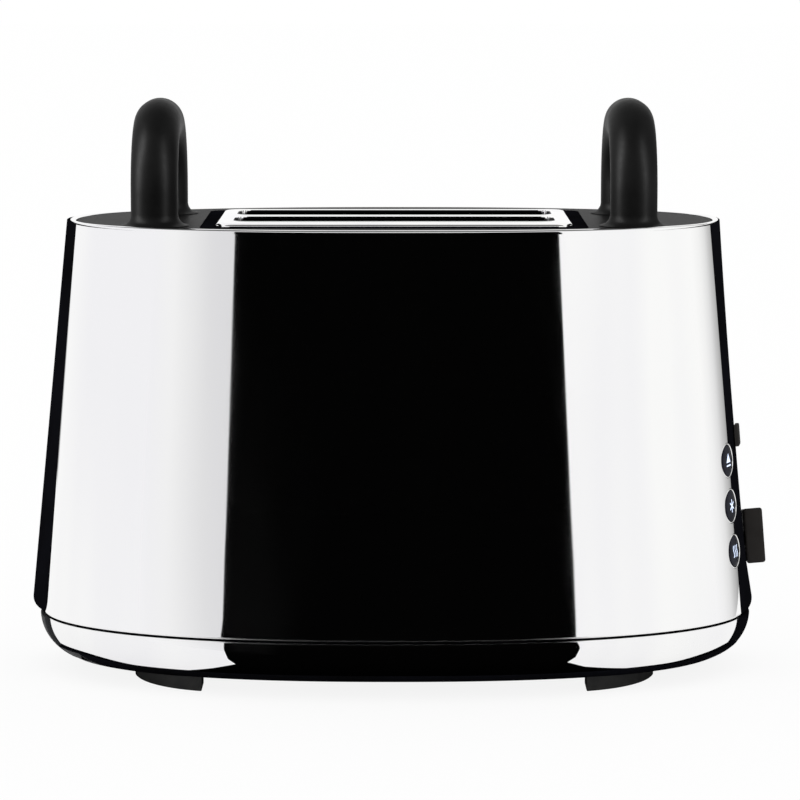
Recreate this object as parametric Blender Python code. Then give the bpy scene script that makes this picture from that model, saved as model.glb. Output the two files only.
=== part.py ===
# A two-slot toaster with a tapered chrome body, black end bands and two loop handles.
# Lengths are in metres, +Z is up and the origin is under the middle of the whole toaster.
# The body's long way runs along X, the front is -Y, and the lever is on the +X end.
# The model stands as in use with the carriage latched down.

import math

import bmesh
import bpy
from mathutils import Matrix, Vector

# Clearances
SEAT_GAP = 0.0003          # between flat faces that seat on each other
CURVE_GAP = 0.0006         # between curved walls that nest
OVERRUN = 0.004            # how far a cutter runs past what it cuts
FLATNESS = 0.0000001       # a face bent by more than this is split into triangles

# Body plan: a superellipse that narrows from the seam to the rim
PLAN_POWER_SHARE = 2.31
SEAM_HALF_LENGTH = 0.1563
SEAM_HALF_DEPTH = 0.0852
LENGTH_DRAW = 0.0146       # how far each end draws in from the seam up to the rim
DEPTH_DRAW = 0.0100        # and the front and back
SEAM_HEIGHT = 0.0259       # middle of the groove between base and body
BODY_HEIGHT = 0.1727       # from the seam to the top edge of the shells

# Shells
SHELL_WALL = 0.0012
SEAM_GROOVE = 0.0011

# Chrome rim round the top
RIM_REACH = 0.0027         # how far the rim stands past the shell at the ends
RIM_FRONT_REACH = 0.0007   # and at the front and back
RIM_WIDTH = 0.0043
RIM_THICKNESS = 0.0015
RIM_ROUND = 0.0006

# Top plate
PLATE_THICKNESS = 0.0025
PLATE_DROP = 0.0012        # how far the plate lies below the crest of the rim
PLATE_EDGE_ROUND = 0.0004

# Slot deck
DECK_SIDE = 0.0110         # from a slot to the front or back of the deck
DECK_END = 0.00725         # and from a slot to the end of the deck
DECK_CORNER = 0.0080
DECK_FLANK = 0.0045        # width of the sloping flank at the front and back
DECK_END_FLANK = 0.0020    # and at the ends
DECK_RISE = 0.0016         # top of the deck above the plate
DECK_FOOT = 0.0004         # upright foot of the flank above the plate
DECK_SHEET = 0.0012
DECK_FLANK_SHARES = ((0, 0), (0.15, 0.35), (0.5, 0.75), (0.8, 0.94), (1, 1))   # across the flank, and up it
SLOT_END_INSET = 0.00865   # from the end of the chamber to the end of a slot
SLOT_INSET = 0.0005        # how much nearer than the heaters the slots lie, both together
CENTRE_BAR = 0.0100        # between the two slots
SLOT_CORNER_SHARE = 0.26   # of the width of a slot
LIP_WIDTH = 0.0016
LIP_RISE = 0.0005
LIP_DEPTH = 0.0050

# Black strips at the ends of the deck
TRIM_WIDTH = 0.0054
TRIM_CORNER = 0.0050
TRIM_PROUD = 0.0002

# Loop handles
LOOP_AWAY = 0.0263         # from the end of the deck to the middle of a loop
LOOP_INSET = 0.0076        # from the side of the deck in to the middle of a leg
LOOP_FLAT = 0.0064         # half the straight length over the top of a loop
LOOP_RADIUS = 0.0102
LOOP_HEIGHT = 0.0529       # from the plate to the top of the loop
LOOP_FLARE = 0.0046

# End bands and the flanges behind the shells
BAND_LEFT_HEAD = 0.0208     # half the width of the left band at its upper end
BAND_LEFT_FOOT = 0.0172
BAND_RIGHT_HEAD = 0.0236
BAND_RIGHT_FOOT = 0.0222
BAND_LEFT_TOP_PROUD = 0.0026
BAND_LEFT_PROUD = 0.0056
BAND_RIGHT_TOP_PROUD = 0.0017
BAND_RIGHT_PROUD = 0.0029
BAND_BOW = 0.0009          # how far the right band bows in half way up
BAND_CROWN_SHARE = 2.2     # the power of the curve across a band, flush with the shells at its sides
BAND_FOOT_SHARE = 0.25     # how much of the band's height is left at its lower end
BAND_ROW_SHARES = (0.3, 0.55, 0.78, 1)
BAND_DEPTH = 0.0030
BAND_TOP_DEPTH = 0.0013    # thinner at the top, beside the edge of the plate
BAND_LOWER_ROUND = 0.0050
FLANGE_HALF_WIDTH = 0.0440
FLANGE_THICKNESS = 0.0022
FLANGE_MARGIN = 0.0045     # from the ends of the band to the ends of the flange

# Base
BASE_HEIGHT = 0.0210       # from the seam down to the flat bottom
BASE_INSET = 0.0230        # how far the base draws in under the body
BASE_FLOOR = 0.0020
BASE_WALL = 0.0022
SKIRT_WALL = 0.0015
SKIRT_HEIGHT = 0.0117
END_CAP_PROUD = 0.0015
COLLAR_INSET = 0.0050
COLLAR_HEIGHT = 0.0045     # above the seam
SKIRT_EDGE = 0.0250        # half the space between the skirts at each end
BASE_RING_SHARES = (0.16, 0.35, 0.57, 0.80)
VENT_INNER_X = 0.0090      # from the middle of the body to the vents
VENT_END_INSET = 0.0274    # from the end of the chamber to the vents
VENT_WIDTH = 0.0030
VENT_ROUND = 0.0012
VENT_PITCH = 0.0160
VENT_ROWS = 3

# Feet
FOOT_HEIGHT = 0.0047
FOOT_REACH = 0.0450        # outer radius of the crescent
FOOT_WIDTH = 0.0150
FOOT_END_INSET = 0.0863    # from the end of the body to the middle of the crescent
FOOT_SIDE_INSET = 0.0670   # and from the side of the body
FOOT_CUT = 0.0130          # from the middle of the crescent to its square end
FOOT_TIP_ANGLE = math.radians(10)
FOOT_TIP_SHARE = 0.7

# Crumb tray
TRAY_LEG_GAP = 0.0033      # between the tray and the feet of the chassis
TRAY_END_INSET = 0.0044    # from the end of the chamber to the end of the tray
TRAY_SHEET = 0.0009
TRAY_WALL_HEIGHT = 0.0050
TRAY_FRONT_WALL = 0.0022
TRAY_FRONT_DEPTH = 0.0066  # from the nose of the base in to the hollow
TRAY_SIDE_GAP = 0.0006
TRAY_WAY_DEPTH = 0.0393    # how far in the way through the base's wall is cleared
RUNNER_WIDTH = 0.0015
RUNNER_HEIGHT = 0.0050

# Chassis
END_SPACE = 0.0779         # from the end of the body to the toasting chamber
SIDE_SPACE = 0.0352        # from the side of the body to the chassis
CHASSIS_SHEET = 0.0012
CHASSIS_LEG_WIDTH = 0.0070
CHASSIS_FOOT_LENGTH = 0.0090
CHASSIS_CLEAR_HEIGHT = 0.0016   # under the chassis, above the tray walls
RACK_SLOT_WIDTH = 0.0042
TAB_TOP_REACH = 0.0240
TAB_BOTTOM_REACH = 0.0480
TAB_HALF_WIDTH = 0.0090
TAB_BOTTOM_HEIGHT = 0.0240
TAB_TOP_DROP = 0.0124      # from the top of the chassis down to the upper tab
BOSS_RADIUS = 0.0052
BOSS_HEIGHT = 0.0020
SCREW_RADIUS = 0.0014
SCREW_HEAD_RADIUS = 0.0034
SCREW_HEAD_HEIGHT = 0.0014
SCREW_CROWN_SHARE = 0.8
SCREW_LENGTH = 0.0080
SCREW_RECESS = 0.0003

# Toasting chamber
GUARD_SLOT_GAP = 0.0005    # how far a guard stands inside the edge of its slot
GUARD_WIRE = 0.0016
GUARD_BOTTOM = 0.0500
GUARD_DROP = 0.0084        # from the top of the chassis down to the guards
GUARD_WIRES = 7
HEATER_SHEET = 0.0010
HEATER_BOTTOM = 0.0540
HEATER_DROP = 0.0164
HEATER_SPACE = 0.0045      # between an outer heater and its reflector
HEATER_NOTCH = 0.0020
HEATER_NOTCHES = 6
CHASSIS_BORDER = 0.0080    # from the side of the chassis in to the reflectors
REFLECTOR_SHEET = 0.0008
REFLECTOR_BOTTOM = 0.0400
REFLECTOR_DROP = 0.0064

# Carriage
TRAVEL = 0.0500
MECHANISM_Y = 0.0055       # the lever, the guide rod and the latch share this plane
ROD_REACH = 0.0154         # from the chassis out to the guide rod
ROD_RADIUS = 0.0025
ROD_END = 0.0022           # how far the rod stands past each tab
BLOCK_HALF_SIZE = 0.0070
BLOCK_BOTTOM = 0.0473
BLOCK_TOP = 0.0660
CROSSBAR_THICKNESS = 0.0030
CROSSBAR_HALF_WIDTH = 0.0220
CROSSBAR_BOTTOM = 0.0570
ARM_HALF_WIDTH = 0.0016
ARM_SIDE_GAP = 0.0009
ARM_BOTTOM = 0.0530
ARM_TOP = 0.0590
RACK_BAR_HALF_WIDTH = 0.0015
RACK_BAR_BOTTOM = 0.0590
RACK_BAR_TOP = 0.0640
RACK_END_REACH = 0.0030    # the bars run this far past the end plates
RACK_FINGER_GAP = 0.0035   # between a finger and the guards
RACK_FINGER_THICKNESS = 0.0016
RACK_FINGER_RISE = 0.0022
RACK_FINGERS = 5
ARMATURE_REACH = 0.0210    # from the guide rod out to the latch
ARMATURE_HALF_SIZE = 0.0090
ARMATURE_THICKNESS = 0.0027
PAD_HALF_SIZE = 0.0055
CORE_HALF_SIZE = 0.0060
COIL_HALF_SIZE = 0.0085
COIL_MARGIN = 0.0030
SPRING_RADIUS = 0.0050
SPRING_WIRE = 0.0006
SPRING_TURNS = 12

# Lever knob
LEVER_TOP = 0.0670         # both at the face of the band
LEVER_BOTTOM = 0.0456
LEVER_HALF_WIDTH = 0.0100
LEVER_DEPTH = 0.0084
LEVER_CLEARANCE = 0.0005
LEVER_ROUND = 0.0012
SOCKET_DEPTH = 0.0045

# Buttons and the board behind them
BUTTON_Y = 0.0249
BUTTON_HEIGHT = 0.0752     # height of the middle button
BUTTON_PITCH = 0.0202
BEZEL_RADIUS = 0.00765
BEZEL_WALL = 0.0009
BEZEL_PROUD = 0.0005
BEZEL_DEPTH = 0.0044
BUTTON_RECESS = 0.0002
BUTTON_SKIRT = 0.0044
BUTTON_COLLAR = 0.0009
BUTTON_COLLAR_HEIGHT = 0.0010
BUTTON_TRAVEL = 0.0010
BUTTON_ROUND = 0.0005
STEM_RADIUS = 0.0020
STEM_LENGTH = 0.0016
SWITCH_HALF_SIZE = 0.0030
SWITCH_HEIGHT = 0.0028
BOARD_DEPTH = 0.0130       # from the face of the shell to the board
BOARD_THICKNESS = 0.0016
BOARD_LOW = 0.0320
BOARD_MARGIN = 0.0066      # from the slider's control up to the end of the board
BOARD_LEFT = 0.0130
BOARD_RIGHT = 0.0190
POST_RADIUS = 0.0022
POST_INSET = 0.0032

# Browning slider
SLIDER_Y = 0.0105
SLIDER_HEIGHT = 0.1046
SLIDER_TRAVEL = 0.0160     # each way from the middle
SLIDER_HALF_LENGTH = 0.0048
SLIDER_HALF_WIDTH = 0.0035
SLIDER_PROUD = 0.0022
SLIDER_LIFT = 0.0005       # clear of the face of the band
SLIDER_ROUND = 0.0006
SLIDER_STEM = 0.0012       # half the thickness of the stem
SLIDER_SLOT_GAP = 0.0006
POT_HALF_WIDTH = 0.0040
POT_ROOM = 0.0072          # from the face of the band at the slider in to its control

# Cord gland at the back
GLAND_X = 0.0620
GLAND_HEIGHT = 0.0190
GLAND_RADIUS = 0.0055
GLAND_ROUND = 0.0006
GLAND_BORE = 0.0034
GLAND_PROUD = 0.0012
GLAND_DEPTH = 0.0090

# Places that follow from the sizes above
SHELL_LOW = SEAM_HEIGHT + SEAM_GROOVE / 2
SHELL_HIGH = SEAM_HEIGHT + BODY_HEIGHT
SKIRT_HIGH = SEAM_HEIGHT - SEAM_GROOVE / 2
SKIRT_LOW = SEAM_HEIGHT - SEAM_GROOVE - SKIRT_HEIGHT
BASE_LOW = SEAM_HEIGHT - BASE_HEIGHT
FLOOR_TOP = BASE_LOW + BASE_FLOOR
RIM_LOW = SHELL_HIGH + SEAT_GAP
RIM_CREST = RIM_LOW + RIM_THICKNESS
PLATE_TOP = RIM_CREST - PLATE_DROP
PLATE_LOW = PLATE_TOP - PLATE_THICKNESS
DECK_TOP = PLATE_TOP + DECK_RISE
CHASSIS_TOP = PLATE_LOW - SEAT_GAP
TAB_TOP_HEIGHT = CHASSIS_TOP - TAB_TOP_DROP
GUARD_TOP = CHASSIS_TOP - GUARD_DROP
HEATER_TOP = CHASSIS_TOP - HEATER_DROP
REFLECTOR_TOP = CHASSIS_TOP - REFLECTOR_DROP
RIM_HALF_LENGTH = SEAM_HALF_LENGTH - LENGTH_DRAW
RIM_HALF_DEPTH = SEAM_HALF_DEPTH - DEPTH_DRAW
PLATE_HALF_LENGTH = RIM_HALF_LENGTH + RIM_REACH - RIM_WIDTH - SEAT_GAP
PLATE_HALF_DEPTH = RIM_HALF_DEPTH + RIM_FRONT_REACH - RIM_WIDTH - SEAT_GAP
CHAMBER_HALF_LENGTH = SEAM_HALF_LENGTH - END_SPACE
CHASSIS_HALF_DEPTH = SEAM_HALF_DEPTH - SIDE_SPACE
REFLECTOR_OFFSET = CHASSIS_HALF_DEPTH - CHASSIS_BORDER
HEATER_OFFSET = REFLECTOR_OFFSET - HEATER_SPACE
SLOT_MIDDLE = (HEATER_OFFSET - SLOT_INSET) / 2
SLOT_WIDTH = 2 * SLOT_MIDDLE - CENTRE_BAR
SLOT_LENGTH = 2 * (CHAMBER_HALF_LENGTH - SLOT_END_INSET)
SLOT_CORNER = SLOT_WIDTH * SLOT_CORNER_SHARE
DECK_HALF_LENGTH = SLOT_LENGTH / 2 + DECK_END
DECK_HALF_DEPTH = SLOT_MIDDLE + SLOT_WIDTH / 2 + DECK_SIDE
LOOP_MIDDLE_X = DECK_HALF_LENGTH + LOOP_AWAY
LOOP_HALF_SPAN = DECK_HALF_DEPTH - LOOP_INSET
LOOP_CORNER = LOOP_HALF_SPAN - LOOP_FLAT
GUARD_OFFSET = SLOT_WIDTH / 2 - GUARD_SLOT_GAP
RACK_FINGER_HALF_WIDTH = GUARD_OFFSET - RACK_FINGER_GAP
TRAY_HALF_WIDTH = CHASSIS_HALF_DEPTH - CHASSIS_LEG_WIDTH - TRAY_LEG_GAP
TRAY_END_X = CHAMBER_HALF_LENGTH - TRAY_END_INSET
TRAY_WAY_END = SEAM_HALF_LENGTH - TRAY_WAY_DEPTH
GRIP_HALF_WIDTH = SKIRT_EDGE - 2 * SEAT_GAP
VENT_LENGTH = CHAMBER_HALF_LENGTH - VENT_END_INSET - VENT_INNER_X
VENT_MIDDLE_X = VENT_INNER_X + VENT_LENGTH / 2
FOOT_CENTRE_X = SEAM_HALF_LENGTH - FOOT_END_INSET
FOOT_CENTRE_Y = SEAM_HALF_DEPTH - FOOT_SIDE_INSET
FOOT_END_X = FOOT_CENTRE_X + FOOT_CUT
TRAY_LOW = FLOOR_TOP + SEAT_GAP
TRAY_HIGH = TRAY_LOW + TRAY_WALL_HEIGHT
TRAY_OPENING = TRAY_HALF_WIDTH + TRAY_SIDE_GAP
CHASSIS_LOW = TRAY_HIGH + CHASSIS_CLEAR_HEIGHT
CHASSIS_FOOT_LOW = FLOOR_TOP + BOSS_HEIGHT + SEAT_GAP
PLATE_OUTER_X = CHAMBER_HALF_LENGTH + CHASSIS_SHEET
RACK_END_X = PLATE_OUTER_X + RACK_END_REACH
ROD_X = PLATE_OUTER_X + ROD_REACH
ARMATURE_X = ROD_X + ARMATURE_REACH
BOARD_HIGH = SLIDER_HEIGHT - BUTTON_HEIGHT + SLIDER_TRAVEL + SLIDER_HALF_LENGTH + BOARD_MARGIN
TAPER_LENGTH_SHARE = (SEAM_HALF_LENGTH - RIM_HALF_LENGTH) / BODY_HEIGHT
TAPER_DEPTH_SHARE = (SEAM_HALF_DEPTH - RIM_HALF_DEPTH) / BODY_HEIGHT
WALL_TILT = math.atan(TAPER_LENGTH_SHARE)

POST_SEARCH_STEPS = 24
SHELL_STEPS = 28
RIM_STEPS = 64
BASE_STEPS = 48
ROUND_SIDES = 20
SMALL_SIDES = 10


# Shapes of the body

def half_length_at(z):
    return SEAM_HALF_LENGTH - (z - SEAM_HEIGHT) * TAPER_LENGTH_SHARE


def half_depth_at(z):
    return SEAM_HALF_DEPTH - (z - SEAM_HEIGHT) * TAPER_DEPTH_SHARE


def plan_point(half_length, half_depth, angle, z):
    across = math.cos(angle)
    along = math.sin(angle)
    power = 2 / PLAN_POWER_SHARE
    x = half_length * math.copysign(abs(across) ** power, across)
    y = half_depth * math.copysign(abs(along) ** power, along)
    return Vector((x, y, z))


def edge_angle(half_depth, y):
    share = min(y / half_depth, 1)
    return math.asin(share ** (PLAN_POWER_SHARE / 2))


def plan_x(half_length, half_depth, y):
    share = abs(y) / half_depth
    return half_length * (1 - share ** PLAN_POWER_SHARE) ** (1 / PLAN_POWER_SHARE)


def base_inset_at(z):
    drop = min(max((SEAM_HEIGHT - z) / BASE_HEIGHT, 0), 1)
    return BASE_INSET * (1 - math.sqrt(1 - drop * drop))


def band_proud_at(z, end):
    # How far the middle of a band stands past the plan of the shells.
    down = (SHELL_HIGH - z) / BODY_HEIGHT
    if end < 0:
        return BAND_LEFT_TOP_PROUD + (BAND_LEFT_PROUD - BAND_LEFT_TOP_PROUD) * down
    bow = BAND_BOW * 4 * down * (1 - down)
    return BAND_RIGHT_TOP_PROUD + (BAND_RIGHT_PROUD - BAND_RIGHT_TOP_PROUD) * down - bow


def band_edge_at(z, end):
    # Half the width of a band at a height.
    up = (z - SHELL_LOW) / (SHELL_HIGH - SHELL_LOW)
    if end < 0:
        return BAND_LEFT_FOOT + (BAND_LEFT_HEAD - BAND_LEFT_FOOT) * up
    return BAND_RIGHT_FOOT + (BAND_RIGHT_HEAD - BAND_RIGHT_FOOT) * up


def evenly(step, steps):
    # From -1 to +1 in even steps.
    return 2 * step / steps - 1


# Mesh tools

def is_bent(face):
    corner = face.verts[0].co
    return any(abs(face.normal.dot(vert.co - corner)) > FLATNESS for vert in face.verts)


def new_object(name, bm):
    # Faces whose corners don't lie in one plane are split, so that the Booleans stay exact.
    bm.normal_update()
    bent = [face for face in bm.faces if is_bent(face)]
    bmesh.ops.triangulate(bm, faces=bent)
    bmesh.ops.recalc_face_normals(bm, faces=bm.faces)
    mesh = bpy.data.meshes.new(name)
    bm.to_mesh(mesh)
    bm.free()
    obj = bpy.data.objects.new(name, mesh)
    bpy.context.scene.collection.objects.link(obj)
    return obj


def loft(name, sections, closed=False):
    bm = bmesh.new()
    rows = [[bm.verts.new(point) for point in section] for section in sections]
    pairs = list(zip(rows, rows[1:]))
    if closed:
        pairs.append((rows[-1], rows[0]))
    for row, following in pairs:
        for index in range(len(row)):
            after = (index + 1) % len(row)
            bm.faces.new((row[index], row[after], following[after], following[index]))
    if not closed:
        bm.faces.new(rows[0])
        bm.faces.new(rows[-1])
    return new_object(name, bm)


def slab(name, outline, axis, low, high):
    def place(u, v, level):
        if axis == "X":
            return (level, u, v)
        if axis == "Y":
            return (u, level, v)
        return (u, v, level)
    sections = [[place(u, v, level) for u, v in outline] for level in (low, high)]
    return loft(name, sections)


def box(name, low, high):
    outline = [(low[0], low[1]), (high[0], low[1]), (high[0], high[1]), (low[0], high[1])]
    return slab(name, outline, "Z", low[2], high[2])


def rounded_outline(half_x, half_y, radius, steps=5):
    points = []
    for quarter in range(4):
        sign_x = (1, -1, -1, 1)[quarter]
        sign_y = (1, 1, -1, -1)[quarter]
        for step in range(steps + 1):
            angle = math.pi / 2 * (quarter + step / steps)
            x = sign_x * (half_x - radius) + radius * math.cos(angle)
            y = sign_y * (half_y - radius) + radius * math.sin(angle)
            points.append((x, y))
    return points


def moved(outline, x, y):
    return [(u + x, v + y) for u, v in outline]


def lathe(name, profile, frame, sides=ROUND_SIDES, bore=False):
    sections = []
    for side in range(sides):
        angle = math.tau * side / sides
        turn = Vector((math.cos(angle), math.sin(angle), 0))
        section = [frame @ (turn * radius + Vector((0, 0, height))) for radius, height in profile]
        sections.append(section)
    if bore:
        return loft(name, sections, closed=True)
    rings = [[section[index] for section in sections] for index in range(len(profile))]
    return loft(name, rings)


def combine(target, operation, *tools):
    for tool in tools:
        modifier = target.modifiers.new(operation.lower(), "BOOLEAN")
        modifier.operation = operation
        modifier.object = tool
        tool.hide_render = True
        tool.display_type = "WIRE"
    bpy.context.view_layer.update()
    graph = bpy.context.evaluated_depsgraph_get()
    mesh = bpy.data.meshes.new_from_object(target.evaluated_get(graph))
    target.modifiers.clear()
    target.data = mesh
    for tool in tools:
        bpy.data.objects.remove(tool, do_unlink=True)
    return target


def fuse(target, *tools):
    return combine(target, "UNION", *tools)


def cut(target, *tools):
    return combine(target, "DIFFERENCE", *tools)


def finish(obj, name, material, origin=(0, 0, 0), smooth_angle=math.radians(35)):
    obj.name = name
    obj.data.name = name
    obj.data.materials.clear()
    obj.data.materials.append(material)
    obj.data.transform(Matrix.Translation(-Vector(origin)))
    obj.location = origin
    obj.data.shade_smooth()
    obj.data.set_sharp_from_angle(angle=smooth_angle)
    obj.parent = body_frame
    return obj


def make_material(name, colour, roughness, metallic):
    material = bpy.data.materials.new(name)
    material.use_nodes = True
    shader = material.node_tree.nodes["Principled BSDF"]
    shader.inputs["Base Color"].default_value = (*colour, 1)
    shader.inputs["Roughness"].default_value = roughness
    shader.inputs["Metallic"].default_value = metallic
    return material


# Housing

def half_ring(name, side, edge_at, levels, steps=SHELL_STEPS):
    # A sheet that follows the plan from one end band to the other.
    # Each level is (half length, half depth, height), and the levels close into a section.
    # The sheet's two ends lie where the function edge_at says for their height and end.
    sections = []
    for step in range(steps + 1):
        section = []
        for half_length, half_depth, z in levels:
            start = edge_angle(half_depth, edge_at(z, 1))
            stop = math.pi - edge_angle(half_depth, edge_at(z, -1))
            angle = start + (stop - start) * step / steps
            section.append(plan_point(half_length, half_depth, side * angle, z))
        sections.append(section)
    return loft(name, sections)


def end_ring(name, end, edge_at, levels, steps):
    # The same for a strip round one end of the body, end being +1 or -1.
    # A fourth value in a level is how far the strip's middle stands proud there.
    sections = []
    for step in range(steps + 1):
        section = []
        across = evenly(step, steps)
        for half_length, half_depth, z, *proud in levels:
            y = across * edge_at(z, end)
            x = plan_x(half_length, half_depth, y)
            if proud:
                x += proud[0] * (1 - abs(across) ** BAND_CROWN_SHARE)
            section.append(Vector((end * x, y, z)))
        sections.append(section)
    return loft(name, sections)


def shell_levels(inset, low, high):
    return [(half_length_at(z) - inset, half_depth_at(z) - inset, z) for z in (low, high)]


def build_shell(side):
    levels = shell_levels(0, SHELL_LOW, SHELL_HIGH)
    levels += reversed(shell_levels(SHELL_WALL, SHELL_LOW, SHELL_HIGH))
    return half_ring("shell", side, lambda z, end: band_edge_at(z, end) + SEAT_GAP, levels)


def button_yaw():
    # The way the shell faces at the buttons.
    half_length = half_length_at(BUTTON_HEIGHT)
    half_depth = half_depth_at(BUTTON_HEIGHT)
    inner = plan_x(half_length, half_depth, BUTTON_Y - BEZEL_RADIUS)
    outer = plan_x(half_length, half_depth, BUTTON_Y + BEZEL_RADIUS)
    return math.atan((inner - outer) / (2 * BEZEL_RADIUS))


def button_frame(index):
    # Local Z points out of the body along the button's own axis.
    z = BUTTON_HEIGHT + index * BUTTON_PITCH * math.cos(WALL_TILT)
    x = plan_x(half_length_at(z), half_depth_at(z), BUTTON_Y)
    turn = Matrix.Rotation(-button_yaw(), 4, "Z") @ Matrix.Rotation(math.pi / 2 - WALL_TILT, 4, "Y")
    return Matrix.Translation((x, -BUTTON_Y, z)) @ turn


def build_front_shell():
    shell = build_shell(-1)
    holes = []
    for index in (-1, 0, 1):
        radius = BEZEL_RADIUS + SEAT_GAP
        profile = [(radius, -OVERRUN), (radius, OVERRUN)]
        holes.append(lathe("hole", profile, button_frame(index)))
    return cut(shell, *holes)


def build_rim():
    half_length = RIM_HALF_LENGTH + RIM_REACH
    half_depth = RIM_HALF_DEPTH + RIM_FRONT_REACH
    profile = [
        (0, RIM_LOW),
        (0, RIM_CREST - 2 * RIM_ROUND),
        (RIM_ROUND / 2, RIM_CREST - RIM_ROUND / 2),
        (2 * RIM_ROUND, RIM_CREST),
        (RIM_WIDTH - RIM_ROUND, RIM_CREST - RIM_ROUND / 4),
        (RIM_WIDTH, RIM_CREST - RIM_ROUND),
        (RIM_WIDTH, RIM_LOW),
    ]
    sections = []
    for step in range(RIM_STEPS):
        angle = math.tau * step / RIM_STEPS
        section = [plan_point(half_length - inset, half_depth - inset, angle, z) for inset, z in profile]
        sections.append(section)
    return loft("rim", sections, closed=True)


def build_plate():
    levels = [(0, PLATE_LOW), (0, PLATE_TOP - PLATE_EDGE_ROUND), (PLATE_EDGE_ROUND, PLATE_TOP)]
    rings = []
    for inset, z in levels:
        ring = []
        for step in range(RIM_STEPS):
            angle = math.tau * step / RIM_STEPS
            ring.append(plan_point(PLATE_HALF_LENGTH - inset, PLATE_HALF_DEPTH - inset, angle, z))
        rings.append(ring)
    plate = loft("plate", rings)
    low = PLATE_LOW - OVERRUN
    high = PLATE_TOP + OVERRUN
    trim_reach = DECK_HALF_LENGTH + SEAT_GAP + TRIM_WIDTH
    hole = rounded_outline(trim_reach + SEAT_GAP, DECK_HALF_DEPTH + SEAT_GAP, TRIM_CORNER)
    return cut(plate, slab("hole", hole, "Z", low, high))


def build_deck():
    low = PLATE_LOW
    foot = PLATE_TOP + DECK_FOOT
    rings = []
    for share, rise_share in ((0, None), *DECK_FLANK_SHARES):
        half_x = DECK_HALF_LENGTH - DECK_END_FLANK * share
        half_y = DECK_HALF_DEPTH - DECK_FLANK * share
        z = low if rise_share is None else foot + (DECK_TOP - foot) * rise_share
        outline = rounded_outline(half_x, half_y, DECK_CORNER - DECK_END_FLANK * share)
        rings.append([(x, y, z) for x, y in outline])
    deck = loft("deck", rings)
    hollow_x = DECK_HALF_LENGTH - DECK_END_FLANK - DECK_SHEET
    hollow_y = DECK_HALF_DEPTH - DECK_FLANK
    hollow = rounded_outline(hollow_x, hollow_y, DECK_CORNER - DECK_END_FLANK - DECK_SHEET)
    cut(deck, slab("hollow", hollow, "Z", low - OVERRUN, DECK_TOP - DECK_SHEET))
    lips = []
    holes = []
    for side in (-1, 1):
        outer = rounded_outline(SLOT_LENGTH / 2 + LIP_WIDTH, SLOT_WIDTH / 2 + LIP_WIDTH, SLOT_CORNER + LIP_WIDTH)
        crest = rounded_outline(SLOT_LENGTH / 2 + LIP_WIDTH / 2, SLOT_WIDTH / 2 + LIP_WIDTH / 2,
                                SLOT_CORNER + LIP_WIDTH / 2)
        outer = moved(outer, 0, side * SLOT_MIDDLE)
        crest = moved(crest, 0, side * SLOT_MIDDLE)
        rings = [[(x, y, DECK_TOP - LIP_DEPTH) for x, y in outer]]
        rings.append([(x, y, DECK_TOP) for x, y in outer])
        rings.append([(x, y, DECK_TOP + LIP_RISE) for x, y in crest])
        lips.append(loft("lip", rings))
        inner = moved(rounded_outline(SLOT_LENGTH / 2, SLOT_WIDTH / 2, SLOT_CORNER), 0, side * SLOT_MIDDLE)
        holes.append(slab("slot", inner, "Z", DECK_TOP - LIP_DEPTH - OVERRUN, DECK_TOP + OVERRUN))
    fuse(deck, *lips)
    cut(deck, *holes)
    return deck


def build_trim(end):
    near = DECK_HALF_LENGTH + SEAT_GAP
    far = near + TRIM_WIDTH
    body = rounded_outline(far, DECK_HALF_DEPTH, TRIM_CORNER)
    trim = slab("trim", body, "Z", PLATE_LOW, PLATE_TOP + TRIM_PROUD)
    keep_low = (-far - OVERRUN, -DECK_HALF_DEPTH - OVERRUN, PLATE_LOW - OVERRUN)
    keep_high = (near, DECK_HALF_DEPTH + OVERRUN, PLATE_TOP + OVERRUN)
    waste = box("waste", keep_low, keep_high)
    cut(trim, waste)
    if end < 0:
        trim.data.transform(Matrix.Rotation(math.pi, 4, "Z"))
    return trim


def loop_path():
    # Points on the middle line of a loop, each with its direction and extra radius.
    foot = PLATE_TOP + SEAT_GAP
    crown = PLATE_TOP + LOOP_HEIGHT - LOOP_RADIUS
    path = []
    flare_steps = 3
    for step in range(flare_steps + 1):
        angle = math.pi / 2 * step / flare_steps
        rise = LOOP_FLARE * (1 - math.cos(angle))
        extra = LOOP_FLARE * (1 - math.sin(angle))
        path.append((Vector((0, -LOOP_HALF_SPAN, foot + rise)), Vector((0, 0, 1)), extra))
    corner_steps = 7
    middle = Vector((0, LOOP_CORNER - LOOP_HALF_SPAN, crown - LOOP_CORNER))
    for step in range(corner_steps + 1):
        angle = math.pi / 2 * step / corner_steps
        away = Vector((0, -math.cos(angle), math.sin(angle)))
        path.append((middle + away * LOOP_CORNER, Vector((0, math.sin(angle), math.cos(angle))), 0))
    other = []
    for point, heading, extra in reversed(path):
        back = Vector((0, -point.y, point.z))
        other.append((back, Vector((0, heading.y, -heading.z)), extra))
    return path + other


def build_loop(end, sides=14):
    sections = []
    for point, heading, extra in loop_path():
        normal = Vector((1, 0, 0)).cross(heading)
        section = []
        for side in range(sides):
            angle = math.tau * side / sides
            radius = LOOP_RADIUS + extra
            away = Vector((math.cos(angle), 0, 0)) + normal * math.sin(angle)
            section.append(point + away * radius + Vector((end * LOOP_MIDDLE_X, 0, 0)))
        sections.append(section)
    return loft("loop", sections)


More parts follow.
